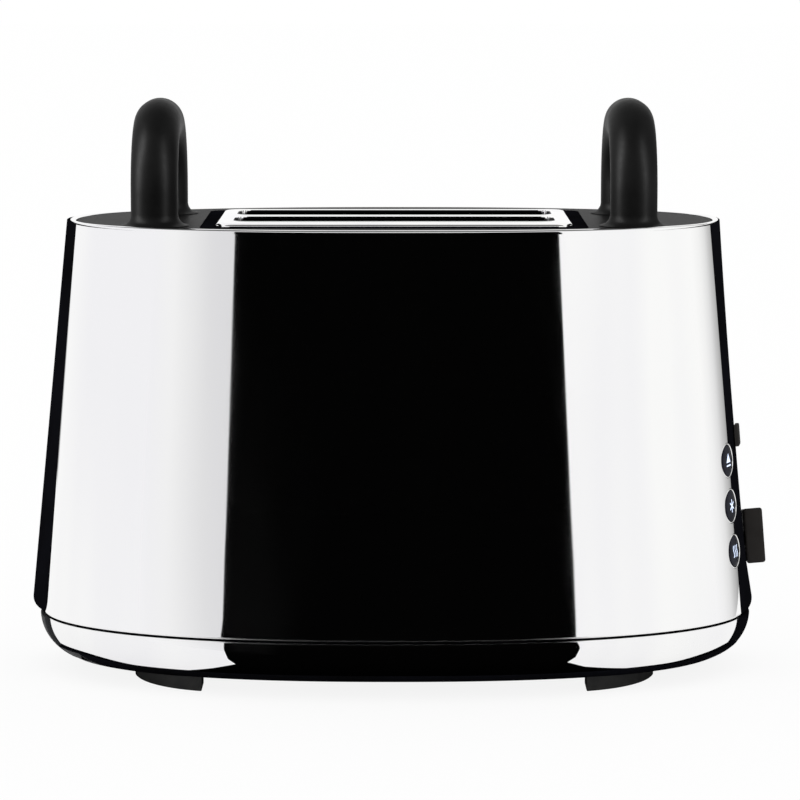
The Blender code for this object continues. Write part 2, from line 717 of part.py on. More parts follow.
def band_levels(end):
    # The outer line of a band from its rounded lower edge to the rim, then the inner line.
    levels = []
    for step in range(4):
        angle = math.pi / 2 * step / 3
        z = SHELL_LOW + BAND_LOWER_ROUND * (1 - math.cos(angle))
        height_share = BAND_FOOT_SHARE + (1 - BAND_FOOT_SHARE) * math.sin(angle)
        levels.append((half_length_at(z), half_depth_at(z), z, band_proud_at(z, end) * height_share))
    for share in BAND_ROW_SHARES:
        z = SHELL_LOW + (SHELL_HIGH - SHELL_LOW) * share
        levels.append((half_length_at(z), half_depth_at(z), z, band_proud_at(z, end)))
    step_high = PLATE_LOW - 2 * SEAT_GAP
    inner = [(SHELL_HIGH, BAND_TOP_DEPTH), (step_high, BAND_TOP_DEPTH)]
    inner += [(step_high - BAND_TOP_DEPTH, BAND_DEPTH), (SHELL_LOW, BAND_DEPTH)]
    for z, depth in inner:
        levels.append((half_length_at(z) - depth, half_depth_at(z) - depth, z, 0))
    return levels


def build_band(end):
    band = end_ring("band", end, band_edge_at, band_levels(end), 10)
    outer = SHELL_WALL + CURVE_GAP
    low = SHELL_LOW + FLANGE_MARGIN
    high = SHELL_HIGH - FLANGE_MARGIN
    levels = shell_levels(outer, low, high)
    levels += reversed(shell_levels(outer + FLANGE_THICKNESS, low, high))
    fuse(band, end_ring("flange", end, lambda z, end: FLANGE_HALF_WIDTH, levels, 14))
    return band


def band_face_x(z, y):
    crown = 1 - abs(y / band_edge_at(z, 1)) ** BAND_CROWN_SHARE
    return plan_x(half_length_at(z), half_depth_at(z), y) + band_proud_at(z, 1) * crown


def post_stop(place):
    # How far along a post its end lies half way into the flange or the band.
    inset = SHELL_WALL + CURVE_GAP + FLANGE_THICKNESS / 2
    near, far = -BOARD_DEPTH, 0
    for _ in range(POST_SEARCH_STEPS):
        middle = (near + far) / 2
        x, y, z = place @ Vector((0, 0, middle))
        if x < plan_x(half_length_at(z) - inset, half_depth_at(z) - inset, y):
            near = middle
        else:
            far = middle
    return near


def build_right_band():
    band = build_band(1)
    tools = []
    half = ARM_HALF_WIDTH + ARM_SIDE_GAP
    lever_low = (ROD_X, MECHANISM_Y - half, ARM_BOTTOM - OVERRUN)
    lever_high = (SEAM_HALF_LENGTH + 2 * OVERRUN, MECHANISM_Y + half, ARM_TOP + TRAVEL + OVERRUN)
    tools.append(box("lever_slot", lever_low, lever_high))
    reach = SLIDER_TRAVEL + SLIDER_STEM + SLIDER_SLOT_GAP
    half = SLIDER_STEM + SLIDER_SLOT_GAP
    slot = box("slider_slot", (-BOARD_DEPTH, -half, -reach), (2 * OVERRUN, half, reach))
    slot.data.transform(Matrix.Translation(slider_point()) @ slider_turn())
    tools.append(slot)
    for index in (-1, 0, 1):
        radius = BEZEL_RADIUS + SEAT_GAP
        profile = [(radius, -2 * OVERRUN), (radius, OVERRUN)]
        tools.append(lathe("hole", profile, button_frame(index)))
    cut(band, *tools)
    posts = []
    for across, up in board_corners():
        start = -BOARD_DEPTH + SEAT_GAP
        place = button_frame(0) @ Matrix.Translation((up, across, 0))
        posts.append(lathe("post", [(POST_RADIUS, start), (POST_RADIUS, post_stop(place))], place, SMALL_SIDES))
    return fuse(band, *posts)


# Base

def plan_ring(half_length, half_depth, z):
    ring = []
    for step in range(BASE_STEPS):
        angle = math.tau * step / BASE_STEPS
        ring.append(plan_point(half_length, half_depth, angle, z))
    return ring


def base_ring(inset, z):
    # The outside of the base, which stands a little past the skirts at the ends.
    return plan_ring(SEAM_HALF_LENGTH + END_CAP_PROUD - inset, SEAM_HALF_DEPTH - inset, z)


def skirt_ring(inset, z):
    return plan_ring(SEAM_HALF_LENGTH - inset, SEAM_HALF_DEPTH - inset, z)


def base_heights():
    angles = [math.pi / 2 * share for share in BASE_RING_SHARES]
    return [SEAM_HEIGHT - BASE_HEIGHT * math.sin(angle) for angle in angles]


def build_base_form(growth):
    # The whole outer form of the base, grown by a small amount to serve as a cutter.
    rings = [base_ring(-growth, SKIRT_HIGH)]
    for z in base_heights():
        rings.append(base_ring(base_inset_at(z) - growth, z))
    rings.append(base_ring(BASE_INSET - growth, BASE_LOW - growth))
    return loft("base", rings)


def skirt_levels(inset, low, high):
    levels = []
    inside = [z for z in base_heights() if low < z < high]
    for z in [high] + inside + [low]:
        drawn = base_inset_at(z) + inset
        levels.append((SEAM_HALF_LENGTH - drawn, SEAM_HALF_DEPTH - drawn, z))
    return levels


def build_skirt(side):
    levels = skirt_levels(0, SKIRT_LOW, SKIRT_HIGH)
    levels += reversed(skirt_levels(SKIRT_WALL, SKIRT_LOW, SKIRT_HIGH))
    return half_ring("skirt", side, lambda z, end: SKIRT_EDGE, levels)


def build_pan():
    # Rings up the outside, over the collar behind the skirts, and down the inside to the floor.
    ledge = SKIRT_LOW - SEAT_GAP
    behind = SKIRT_WALL + CURVE_GAP
    collar_high = SEAM_HEIGHT + COLLAR_HEIGHT
    lower = [z for z in base_heights() if z < ledge]
    rings = [base_ring(BASE_INSET, BASE_LOW)]
    for z in reversed(lower):
        rings.append(base_ring(base_inset_at(z), z))
    rings.append(base_ring(base_inset_at(ledge), ledge))
    rings.append(skirt_ring(base_inset_at(ledge) + behind, ledge))
    rings.append(skirt_ring(COLLAR_INSET, ledge + SKIRT_HEIGHT / 4))
    rings.append(skirt_ring(COLLAR_INSET, collar_high))
    rings.append(skirt_ring(COLLAR_INSET + BASE_WALL, collar_high))
    rings.append(skirt_ring(COLLAR_INSET + BASE_WALL, ledge + SKIRT_HEIGHT / 4))
    for z in (lower[0], FLOOR_TOP):
        rings.append(skirt_ring(base_inset_at(z) + behind + BASE_WALL, z))
    pan = loft("pan", rings)
    levels = []
    for z in [SKIRT_HIGH] + [z for z in base_heights() if z > ledge] + [ledge - SEAT_GAP]:
        inset = base_inset_at(z) + SEAT_GAP - END_CAP_PROUD
        levels.append((SEAM_HALF_LENGTH - inset, SEAM_HALF_DEPTH - inset, z))
    for z in (ledge - SEAT_GAP, SKIRT_HIGH):
        inset = COLLAR_INSET + BASE_WALL / 2
        levels.append((SEAM_HALF_LENGTH - inset, SEAM_HALF_DEPTH - inset, z))
    fuse(pan, end_ring("end_cap", 1, lambda z, end: SKIRT_EDGE - SEAT_GAP, levels, 6))
    fuse(pan, *pan_ribs())
    cut(pan, *pan_openings())
    return pan


def screw_places():
    x = PLATE_OUTER_X - CHASSIS_FOOT_LENGTH / 2 - CHASSIS_SHEET
    y = CHASSIS_HALF_DEPTH - CHASSIS_LEG_WIDTH / 2
    return [(end * x, side * y) for end in (-1, 1) for side in (-1, 1)]


def pan_ribs():
    ribs = []
    low = FLOOR_TOP - BASE_FLOOR / 2
    high = FLOOR_TOP + RUNNER_HEIGHT
    start = -TRAY_WAY_END
    for side in (-1, 1):
        near = side * TRAY_OPENING
        far = side * (TRAY_OPENING + RUNNER_WIDTH)
        ribs.append(box("runner", (start, min(near, far), low),
                        (TRAY_END_X + RUNNER_WIDTH, max(near, far), high)))
    stop = TRAY_END_X + SEAT_GAP
    ribs.append(box("stop", (stop, -TRAY_OPENING - RUNNER_WIDTH / 2, low),
                    (stop + RUNNER_WIDTH, TRAY_OPENING + RUNNER_WIDTH / 2, high - SEAT_GAP)))
    for x, y in screw_places():
        place = Matrix.Translation((x, y, 0))
        profile = [(BOSS_RADIUS, low), (BOSS_RADIUS, FLOOR_TOP + BOSS_HEIGHT)]
        ribs.append(lathe("boss", profile, place, ROUND_SIDES))
    return ribs


def pan_openings():
    tools = []
    past = -SEAM_HALF_LENGTH - END_CAP_PROUD - OVERRUN
    start = -TRAY_WAY_END
    low_top = TRAY_HIGH + SEAT_GAP
    way = TRAY_OPENING - SEAT_GAP / 2
    tools.append(box("tray_way", (past, -way, FLOOR_TOP - SEAT_GAP), (start - RUNNER_WIDTH, way, low_top)))
    half = SKIRT_EDGE - SEAT_GAP
    high = SEAM_HEIGHT + COLLAR_HEIGHT + OVERRUN
    tools.append(box("grip_way", (past, -half, TRAY_HIGH - RUNNER_WIDTH), (start, half, high)))
    for row in range(VENT_ROWS):
        y = (row - (VENT_ROWS - 1) / 2) * VENT_PITCH
        for side in (-1, 1):
            outline = rounded_outline(VENT_LENGTH / 2, VENT_WIDTH / 2, VENT_ROUND, 2)
            outline = moved(outline, side * VENT_MIDDLE_X, y)
            tools.append(slab("vent", outline, "Z", BASE_LOW - OVERRUN, FLOOR_TOP + SEAT_GAP))
    for x, y in screw_places():
        place = Matrix.Translation((x, y, 0))
        head = SCREW_HEAD_RADIUS + SEAT_GAP
        shank = SCREW_RADIUS + SEAT_GAP
        recess = BASE_LOW + SCREW_RECESS + SCREW_HEAD_HEIGHT + SEAT_GAP
        tools.append(lathe("recess", [(head, BASE_LOW - OVERRUN), (head, recess)], place, ROUND_SIDES))
        tools.append(lathe("bore", [(shank, BASE_LOW), (shank, FLOOR_TOP + OVERRUN)], place, SMALL_SIDES))
    tools.append(gland_hole())
    return tools


def gland_frame():
    inset = base_inset_at(GLAND_HEIGHT)
    half_length = SEAM_HALF_LENGTH - inset
    half_depth = SEAM_HALF_DEPTH - inset
    share = GLAND_X / half_length
    y = half_depth * (1 - share ** PLAN_POWER_SHARE) ** (1 / PLAN_POWER_SHARE)
    return Matrix.Translation((GLAND_X, y, GLAND_HEIGHT)) @ Matrix.Rotation(-math.pi / 2, 4, "X")


def gland_hole():
    radius = GLAND_RADIUS + SEAT_GAP
    profile = [(radius, -GLAND_DEPTH - OVERRUN), (radius, OVERRUN)]
    return lathe("gland_hole", profile, gland_frame(), ROUND_SIDES)


def build_gland():
    profile = [
        (GLAND_BORE, -GLAND_DEPTH),
        (GLAND_RADIUS, -GLAND_DEPTH),
        (GLAND_RADIUS, GLAND_PROUD - GLAND_ROUND),
        (GLAND_RADIUS - GLAND_ROUND, GLAND_PROUD),
        (GLAND_BORE, GLAND_PROUD),
    ]
    return lathe("gland", profile, gland_frame(), ROUND_SIDES, bore=True)


def build_rear_skirt():
    return cut(build_skirt(1), gland_hole())


def build_foot(end, side):
    # A crescent pad, cut square at its inner end and tapering to a tip along the oval.
    start = math.acos((FOOT_END_X - FOOT_CENTRE_X) / FOOT_REACH)
    inner = FOOT_REACH - FOOT_WIDTH
    outline = []
    steps = 8
    for step in range(steps + 1):
        angle = start + (FOOT_TIP_ANGLE - start) * step / steps
        outline.append((FOOT_CENTRE_X + FOOT_REACH * math.cos(angle), FOOT_CENTRE_Y + FOOT_REACH * math.sin(angle)))
    for step in range(steps):
        share = (2 * step + 1) / (2 * steps)
        angle = FOOT_TIP_ANGLE + (start - FOOT_TIP_ANGLE) * share
        radius = inner + (FOOT_REACH - inner) * (1 - share) ** 2 * FOOT_TIP_SHARE
        outline.append((FOOT_CENTRE_X + radius * math.cos(angle), FOOT_CENTRE_Y + radius * math.sin(angle)))
    outline.append((FOOT_END_X, FOOT_CENTRE_Y + inner * math.sin(start)))
    outline = [(end * x, side * y) for x, y in outline]
    foot = slab("foot", outline, "Z", 0, BASE_LOW + 2 * FOOT_HEIGHT)
    return cut(foot, build_base_form(SEAT_GAP))


def tray_front_ring(inset, z, half_width, steps=8):
    # Points across the front of the tray, following the base in plan.
    half_length = SEAM_HALF_LENGTH + END_CAP_PROUD - inset
    half_depth = SEAM_HALF_DEPTH - inset
    points = []
    for step in range(steps + 1):
        y = half_width * evenly(step, steps)
        points.append(Vector((-plan_x(half_length, half_depth, y), y, z)))
    return points


def build_tray():
    back = TRAY_END_X
    rings = []
    for z in (TRAY_LOW, (TRAY_LOW + TRAY_HIGH) / 2, TRAY_HIGH):
        inset = base_inset_at(z) + SEAT_GAP
        ring = tray_front_ring(inset, z, TRAY_HALF_WIDTH)
        ring.append(Vector((back, TRAY_HALF_WIDTH, z)))
        ring.append(Vector((back, -TRAY_HALF_WIDTH, z)))
        rings.append(ring)
    tray = loft("tray", rings)
    rings = []
    for z in (TRAY_LOW, SEAM_HEIGHT - BASE_HEIGHT / 2, (SEAM_HEIGHT + TRAY_HIGH) / 2, SKIRT_HIGH):
        ring = tray_front_ring(base_inset_at(z), z, GRIP_HALF_WIDTH)
        inner = tray_front_ring(base_inset_at(z) + TRAY_FRONT_WALL, z, GRIP_HALF_WIDTH)
        rings.append(ring + list(reversed(inner)))
    fuse(tray, loft("grip", rings))
    wall = TRAY_SHEET
    hollow_front = base_inset_at(TRAY_LOW) + TRAY_FRONT_DEPTH - SEAM_HALF_LENGTH
    hollow_low = (hollow_front, wall - TRAY_HALF_WIDTH, TRAY_LOW + TRAY_SHEET)
    hollow_high = (back - wall, TRAY_HALF_WIDTH - wall, TRAY_HIGH + OVERRUN)
    return cut(tray, box("hollow", hollow_low, hollow_high))


# Chassis and toasting chamber

def build_chassis(end):
    inner = CHAMBER_HALF_LENGTH
    outer = PLATE_OUTER_X
    side = CHASSIS_HALF_DEPTH
    leg = CHASSIS_HALF_DEPTH - CHASSIS_LEG_WIDTH
    outline = [
        (-side, CHASSIS_FOOT_LOW),
        (-leg, CHASSIS_FOOT_LOW),
        (-leg, CHASSIS_LOW),
        (leg, CHASSIS_LOW),
        (leg, CHASSIS_FOOT_LOW),
        (side, CHASSIS_FOOT_LOW),
        (side, CHASSIS_TOP),
        (-side, CHASSIS_TOP),
    ]
    plate = slab("chassis", outline, "X", min(end * inner, end * outer), max(end * inner, end * outer))
    parts = []
    foot_in = outer - CHASSIS_FOOT_LENGTH - CHASSIS_SHEET
    for way in (-1, 1):
        x_low = min(end * foot_in, end * outer)
        x_high = max(end * foot_in, end * outer)
        y_low = min(way * leg, way * side)
        y_high = max(way * leg, way * side)
        top = CHASSIS_FOOT_LOW + CHASSIS_SHEET
        parts.append(box("foot", (x_low, y_low, CHASSIS_FOOT_LOW), (x_high, y_high, top)))
    holes = []
    for x, y in screw_places():
        if x * end > 0:
            place = Matrix.Translation((x, y, 0))
            radius = SCREW_RADIUS + SEAT_GAP
            profile = [(radius, CHASSIS_FOOT_LOW - OVERRUN), (radius, CHASSIS_FOOT_LOW + OVERRUN)]
            holes.append(lathe("bore", profile, place, SMALL_SIDES))
    for way in (-1, 1):
        y = way * SLOT_MIDDLE
        half = RACK_SLOT_WIDTH / 2
        low = RACK_BAR_BOTTOM - OVERRUN
        high = RACK_BAR_TOP + TRAVEL + OVERRUN
        reach = end * (outer + OVERRUN)
        start = end * (inner - OVERRUN)
        holes.append(box("rack_slot", (min(start, reach), y - half, low), (max(start, reach), y + half, high)))
    if end > 0:
        for reach, z in ((TAB_BOTTOM_REACH, TAB_BOTTOM_HEIGHT), (TAB_TOP_REACH, TAB_TOP_HEIGHT)):
            tab_low = (inner, MECHANISM_Y - TAB_HALF_WIDTH, z)
            tab_high = (outer + reach, MECHANISM_Y + TAB_HALF_WIDTH, z + CHASSIS_SHEET)
            parts.append(box("tab", tab_low, tab_high))
            place = Matrix.Translation((ROD_X, MECHANISM_Y, z))
            radius = ROD_RADIUS + SEAT_GAP
            profile = [(radius, -OVERRUN), (radius, CHASSIS_SHEET + OVERRUN)]
            holes.append(lathe("rod_hole", profile, place, SMALL_SIDES))
    fuse(plate, *parts)
    return cut(plate, *holes)


def build_reflector(side):
    half = CHAMBER_HALF_LENGTH - SEAT_GAP
    near = side * REFLECTOR_OFFSET
    far = side * (REFLECTOR_OFFSET + REFLECTOR_SHEET)
    return box("reflector", (-half, min(near, far), REFLECTOR_BOTTOM), (half, max(near, far), REFLECTOR_TOP))


def build_heater(y):
    # A mica board whose long edges are notched for the wire.
    half = CHAMBER_HALF_LENGTH - SEAT_GAP
    outline = []
    pitch = (HEATER_TOP - HEATER_BOTTOM) / HEATER_NOTCHES
    for end in (-1, 1):
        for index in range(HEATER_NOTCHES):
            step = index if end < 0 else HEATER_NOTCHES - 1 - index
            base = HEATER_TOP - step * pitch if end < 0 else HEATER_BOTTOM + (HEATER_NOTCHES - 1 - step) * pitch
            down = -1 if end < 0 else 1
            outline.append((end * half, base))
            outline.append((end * half, base + down * pitch / 3))
            outline.append((end * (half - HEATER_NOTCH), base + down * pitch / 3))
            outline.append((end * (half - HEATER_NOTCH), base + down * pitch * 2 / 3))
            outline.append((end * half, base + down * pitch * 2 / 3))
        outline.append((end * half, HEATER_BOTTOM if end < 0 else HEATER_TOP))
    return slab("heater", outline, "Y", y - HEATER_SHEET / 2, y + HEATER_SHEET / 2)


def build_guard(y):
    half = CHAMBER_HALF_LENGTH - SEAT_GAP
    wire = GUARD_WIRE / 2
    rails = []
    for z in (GUARD_BOTTOM, GUARD_TOP - GUARD_WIRE):
        rails.append(box("rail", (-half, y - wire, z), (half, y + wire, z + GUARD_WIRE)))
    wires = []
    inset = GUARD_WIRE * 2
    for index in range(GUARD_WIRES):
        x = (half - inset) * evenly(index, GUARD_WIRES - 1)
        low = (x - wire, y - wire / 2, GUARD_BOTTOM + GUARD_WIRE / 2)
        high = (x + wire, y + wire / 2, GUARD_TOP - GUARD_WIRE / 2)
        wires.append(box("wire", low, high))
    return fuse(rails[0], rails[1], *wires)


def build_screw(x, y):
    low = BASE_LOW + SCREW_RECESS
    head = low + SCREW_HEAD_HEIGHT
    profile = [
        (SCREW_HEAD_RADIUS * SCREW_CROWN_SHARE, low),
        (SCREW_HEAD_RADIUS, low + SCREW_HEAD_HEIGHT / 2),
        (SCREW_HEAD_RADIUS, head),
        (SCREW_RADIUS, head),
        (SCREW_RADIUS, head + SCREW_LENGTH),
    ]
    return lathe("screw", profile, Matrix.Translation((x, y, 0)), SMALL_SIDES)


# Carriage

def build_carriage():
    near = RACK_END_X + SEAT_GAP
    far = near + CROSSBAR_THICKNESS
    carriage = box("crossbar", (near, -CROSSBAR_HALF_WIDTH, CROSSBAR_BOTTOM), (far, CROSSBAR_HALF_WIDTH, BLOCK_TOP))
    half = BLOCK_HALF_SIZE
    y = MECHANISM_Y
    parts = [box("block", (ROD_X - half, y - half, BLOCK_BOTTOM), (ROD_X + half, y + half, BLOCK_TOP))]
    bridge = PAD_HALF_SIZE
    parts.append(box("bridge", (far - CROSSBAR_THICKNESS / 2, y - bridge, CROSSBAR_BOTTOM),
                     (ROD_X - half / 2, y + bridge, BLOCK_TOP - CROSSBAR_THICKNESS)))
    tip = lever_face_x(ARM_TOP) + SOCKET_DEPTH - SEAT_GAP
    parts.append(box("arm", (ROD_X + half / 2, y - ARM_HALF_WIDTH, ARM_BOTTOM), (tip, y + ARM_HALF_WIDTH, ARM_TOP)))
    pad = PAD_HALF_SIZE
    parts.append(box("pad", (ARMATURE_X - pad, y - pad, BLOCK_BOTTOM + SEAT_GAP),
                     (ARMATURE_X + pad, y + pad, ARM_BOTTOM + ARM_HALF_WIDTH)))
    fuse(carriage, *parts)
    place = Matrix.Translation((ROD_X, MECHANISM_Y, 0))
    radius = ROD_RADIUS + SEAT_GAP
    bore = lathe("bore", [(radius, BLOCK_BOTTOM - OVERRUN), (radius, BLOCK_TOP + OVERRUN)], place, SMALL_SIDES)
    return cut(carriage, bore)


def build_rack(side):
    y = side * SLOT_MIDDLE
    bar = box("bar", (-RACK_END_X, y - RACK_BAR_HALF_WIDTH, RACK_BAR_BOTTOM),
              (RACK_END_X, y + RACK_BAR_HALF_WIDTH, RACK_BAR_TOP))
    fingers = []
    half = CHAMBER_HALF_LENGTH - RACK_FINGER_HALF_WIDTH
    for index in range(RACK_FINGERS):
        x = half * evenly(index, RACK_FINGERS - 1)
        thin = RACK_FINGER_THICKNESS / 2
        low = (x - thin, y - RACK_FINGER_HALF_WIDTH, RACK_BAR_TOP - RACK_FINGER_RISE)
        high = (x + thin, y + RACK_FINGER_HALF_WIDTH, RACK_BAR_TOP + RACK_FINGER_RISE)
        fingers.append(box("finger", low, high))
    return fuse(bar, *fingers)


def build_armature():
    half = ARMATURE_HALF_SIZE
    top = BLOCK_BOTTOM
    low = (ARMATURE_X - half, MECHANISM_Y - half, top - ARMATURE_THICKNESS)
    return box("armature", low, (ARMATURE_X + half, MECHANISM_Y + half, top))


def build_magnet():
    low = TAB_BOTTOM_HEIGHT + CHASSIS_SHEET + SEAT_GAP
    high = BLOCK_BOTTOM - ARMATURE_THICKNESS - SEAT_GAP
    core = CORE_HALF_SIZE
    coil = COIL_HALF_SIZE
    magnet = box("core", (ARMATURE_X - core, MECHANISM_Y - core, low), (ARMATURE_X + core, MECHANISM_Y + core, high))
    winding = rounded_outline(coil, coil, coil / 2, 4)
    winding = moved(winding, ARMATURE_X, MECHANISM_Y)
    return fuse(magnet, slab("coil", winding, "Z", low + COIL_MARGIN, high - COIL_MARGIN))


def build_rod():
    place = Matrix.Translation((ROD_X, MECHANISM_Y, 0))
    low = TAB_BOTTOM_HEIGHT - ROD_END
    high = TAB_TOP_HEIGHT + CHASSIS_SHEET + ROD_END
    return lathe("rod", [(ROD_RADIUS, low), (ROD_RADIUS, high)], place, SMALL_SIDES)


def build_spring(sides=4, steps=8):
    low = BLOCK_TOP + SEAT_GAP + SPRING_WIRE
    high = TAB_TOP_HEIGHT - SEAT_GAP - SPRING_WIRE
    count = SPRING_TURNS * steps
    sections = []
    for index in range(count + 1):
        angle = math.tau * index / steps
        out = Vector((math.cos(angle), math.sin(angle), 0))
        centre = Vector((ROD_X, MECHANISM_Y, low + (high - low) * index / count)) + out * SPRING_RADIUS
        section = []
        for side in range(sides):
            turn = math.tau * side / sides
            section.append(centre + (out * math.cos(turn) + Vector((0, 0, 1)) * math.sin(turn)) * SPRING_WIRE)
        sections.append(section)
    return loft("spring", sections)


def lever_face_x(z):
    return band_face_x(z, 0) + LEVER_CLEARANCE


def lever_frame():
    # Local X points out of the band and local Z up along it.
    middle = (LEVER_BOTTOM + LEVER_TOP) / 2
    return Matrix.Translation((lever_face_x(middle), MECHANISM_Y, middle)) @ slider_turn()


def build_lever():
    half_height = (LEVER_TOP - LEVER_BOTTOM) / 2
    corner = LEVER_ROUND / 2
    rows = [
        (-LEVER_HALF_WIDTH, LEVER_ROUND),
        (LEVER_ROUND - LEVER_HALF_WIDTH, 0),
        (LEVER_HALF_WIDTH - LEVER_ROUND, 0),
        (LEVER_HALF_WIDTH, LEVER_ROUND),
    ]
    sections = []
    for y, drawn in rows:
        x = LEVER_DEPTH - drawn
        z = half_height - drawn
        outline = [(0, -z), (x - corner, -z), (x, corner - z), (x, z - corner), (x - corner, z), (0, z)]
        sections.append([lever_frame() @ Vector((out, y, up)) for out, up in outline])
    lever = loft("lever", sections)
    half = ARM_HALF_WIDTH + SEAT_GAP
    low = (lever_face_x(ARM_TOP) - OVERRUN, MECHANISM_Y - half, ARM_BOTTOM - SEAT_GAP)
    high = (lever_face_x(ARM_TOP) + SOCKET_DEPTH, MECHANISM_Y + half, ARM_TOP + SEAT_GAP)
    return cut(lever, box("socket", low, high))


# Buttons, board and slider

def build_bezel(index):
    outer = BEZEL_RADIUS
    inner = BEZEL_RADIUS - BEZEL_WALL
    profile = [
        (inner, -BEZEL_DEPTH),
        (outer, -BEZEL_DEPTH),
        (outer, BEZEL_PROUD - BEZEL_WALL / 3),
        (outer - BEZEL_WALL / 3, BEZEL_PROUD),
        (inner + BEZEL_WALL / 3, BEZEL_PROUD),
        (inner, BEZEL_PROUD - BEZEL_WALL / 3),
    ]
    return lathe("bezel", profile, button_frame(index), ROUND_SIDES, bore=True)


def button_profile():
    radius = BEZEL_RADIUS - BEZEL_WALL - SEAT_GAP
    top = BEZEL_PROUD - BUTTON_RECESS - BEZEL_WALL
    low = -BEZEL_DEPTH - SEAT_GAP
    collar_low = low - BUTTON_COLLAR_HEIGHT
    return [
        (STEM_RADIUS, collar_low - STEM_LENGTH),
        (STEM_RADIUS, collar_low),
        (radius + BUTTON_COLLAR, collar_low),
        (radius + BUTTON_COLLAR, low),
        (radius, low),
        (radius, top - BUTTON_ROUND),
        (radius - BUTTON_ROUND, top),
    ]


def build_button(index):
    return lathe("button", button_profile(), button_frame(index), ROUND_SIDES)


def board_corners():
    right = BOARD_RIGHT - POST_INSET
    left = -BOARD_LEFT + POST_INSET
    low = BOARD_LOW - POST_INSET
    high = -BOARD_HIGH + POST_INSET
    return [(across, up) for across in (left, right) for up in (low, high)]


def board_slab(name, low, high):
    part = box(name, low, high)
    part.data.transform(button_frame(0))
    return part


def build_board():
    low = (-BOARD_HIGH, -BOARD_LEFT, -BOARD_DEPTH - BOARD_THICKNESS)
    return board_slab("board", low, (BOARD_LOW, BOARD_RIGHT, -BOARD_DEPTH))


def build_switch(index):
    base = -BOARD_DEPTH + SEAT_GAP
    up = -index * BUTTON_PITCH
    half = SWITCH_HALF_SIZE
    switch = board_slab("switch", (up - half, -half, base), (up + half, half, base + SWITCH_HEIGHT))
    stem_tip = button_profile()[0][1]
    place = button_frame(0) @ Matrix.Translation((up, 0, 0))
    reach = stem_tip - BUTTON_TRAVEL - SEAT_GAP
    plunger = lathe("plunger", [(half / 2, base + SWITCH_HEIGHT / 2), (half / 2, reach)], place, SMALL_SIDES)
    return fuse(switch, plunger)


def slider_turn():
    return Matrix.Rotation(-WALL_TILT, 4, "Y")


def slider_point():
    return Vector((band_face_x(SLIDER_HEIGHT, SLIDER_Y), -SLIDER_Y, SLIDER_HEIGHT))


def slider_on_board():
    # Where the slider's middle falls on the board, in the board's own two directions.
    local = button_frame(0).inverted() @ slider_point()
    return local


def slider_lean():
    # How fast the band's face falls away across the knob, which follows it.
    inner = band_face_x(SLIDER_HEIGHT, SLIDER_Y - SLIDER_HALF_WIDTH)
    outer = band_face_x(SLIDER_HEIGHT, SLIDER_Y + SLIDER_HALF_WIDTH)
    return (inner - outer) / (2 * SLIDER_HALF_WIDTH)


def build_slider():
    place = Matrix.Translation(slider_point()) @ slider_turn()
    half_z = SLIDER_HALF_LENGTH
    half_y = SLIDER_HALF_WIDTH
    sections = []
    for out, drawn in ((SLIDER_LIFT, 0), (SLIDER_PROUD - SLIDER_ROUND, 0), (SLIDER_PROUD, SLIDER_ROUND)):
        outline = rounded_outline(half_y - drawn, half_z - drawn, SLIDER_ROUND, 2)
        sections.append([place @ Vector((out + y * slider_lean(), y, z)) for y, z in outline])
    knob = loft("slider", sections)
    drop = POT_ROOM - 3 * SEAT_GAP
    stem = SLIDER_STEM
    shank = box("stem", (-drop * math.cos(button_yaw()), -stem, -stem), (SLIDER_PROUD / 2, stem, stem))
    shank.data.transform(place)
    return fuse(knob, shank)


def build_pot():
    local = slider_on_board()
    half_long = SLIDER_TRAVEL + SLIDER_HALF_LENGTH
    half = POT_HALF_WIDTH
    base = -BOARD_DEPTH + SEAT_GAP
    low = (local.x - half_long, local.y - half, base)
    high = (local.x + half_long, local.y + half, local.z - POT_ROOM)
    return board_slab("pot", low, high)


# Assembly

for old in list(bpy.data.objects):
    bpy.data.objects.remove(old, do_unlink=True)

lever_reach = (lever_frame() @ Vector((LEVER_DEPTH, 0, (LEVER_BOTTOM - LEVER_TOP) / 2))).x
low_z = SHELL_LOW + BAND_LOWER_ROUND
left_reach = half_length_at(low_z) + band_proud_at(low_z, -1)
body_frame = bpy.data.objects.new("toaster_frame", None)
body_frame.location = ((left_reach - lever_reach) / 2, 0, 0)
bpy.context.scene.collection.objects.link(body_frame)

chrome = make_material("chrome", (0.78, 0.78, 0.79), 0.05, 1.0)
black_gloss = make_material("black_gloss", (0.012, 0.012, 0.013), 0.25, 0.0)
black_satin = make_material("black_satin", (0.018, 0.018, 0.019), 0.42, 0.0)
black_matte = make_material("black_matte", (0.035, 0.035, 0.037), 0.6, 0.0)
grey_plastic = make_material("grey_plastic", (0.05, 0.05, 0.052), 0.5, 0.0)
rubber = make_material("rubber", (0.03, 0.03, 0.03), 0.85, 0.0)
steel = make_material("steel", (0.6, 0.6, 0.6), 0.35, 1.0)
mica = make_material("mica", (0.55, 0.45, 0.3), 0.6, 0.0)
board_green = make_material("board_green", (0.03, 0.16, 0.07), 0.5, 0.0)
copper = make_material("copper", (0.7, 0.35, 0.18), 0.4, 1.0)

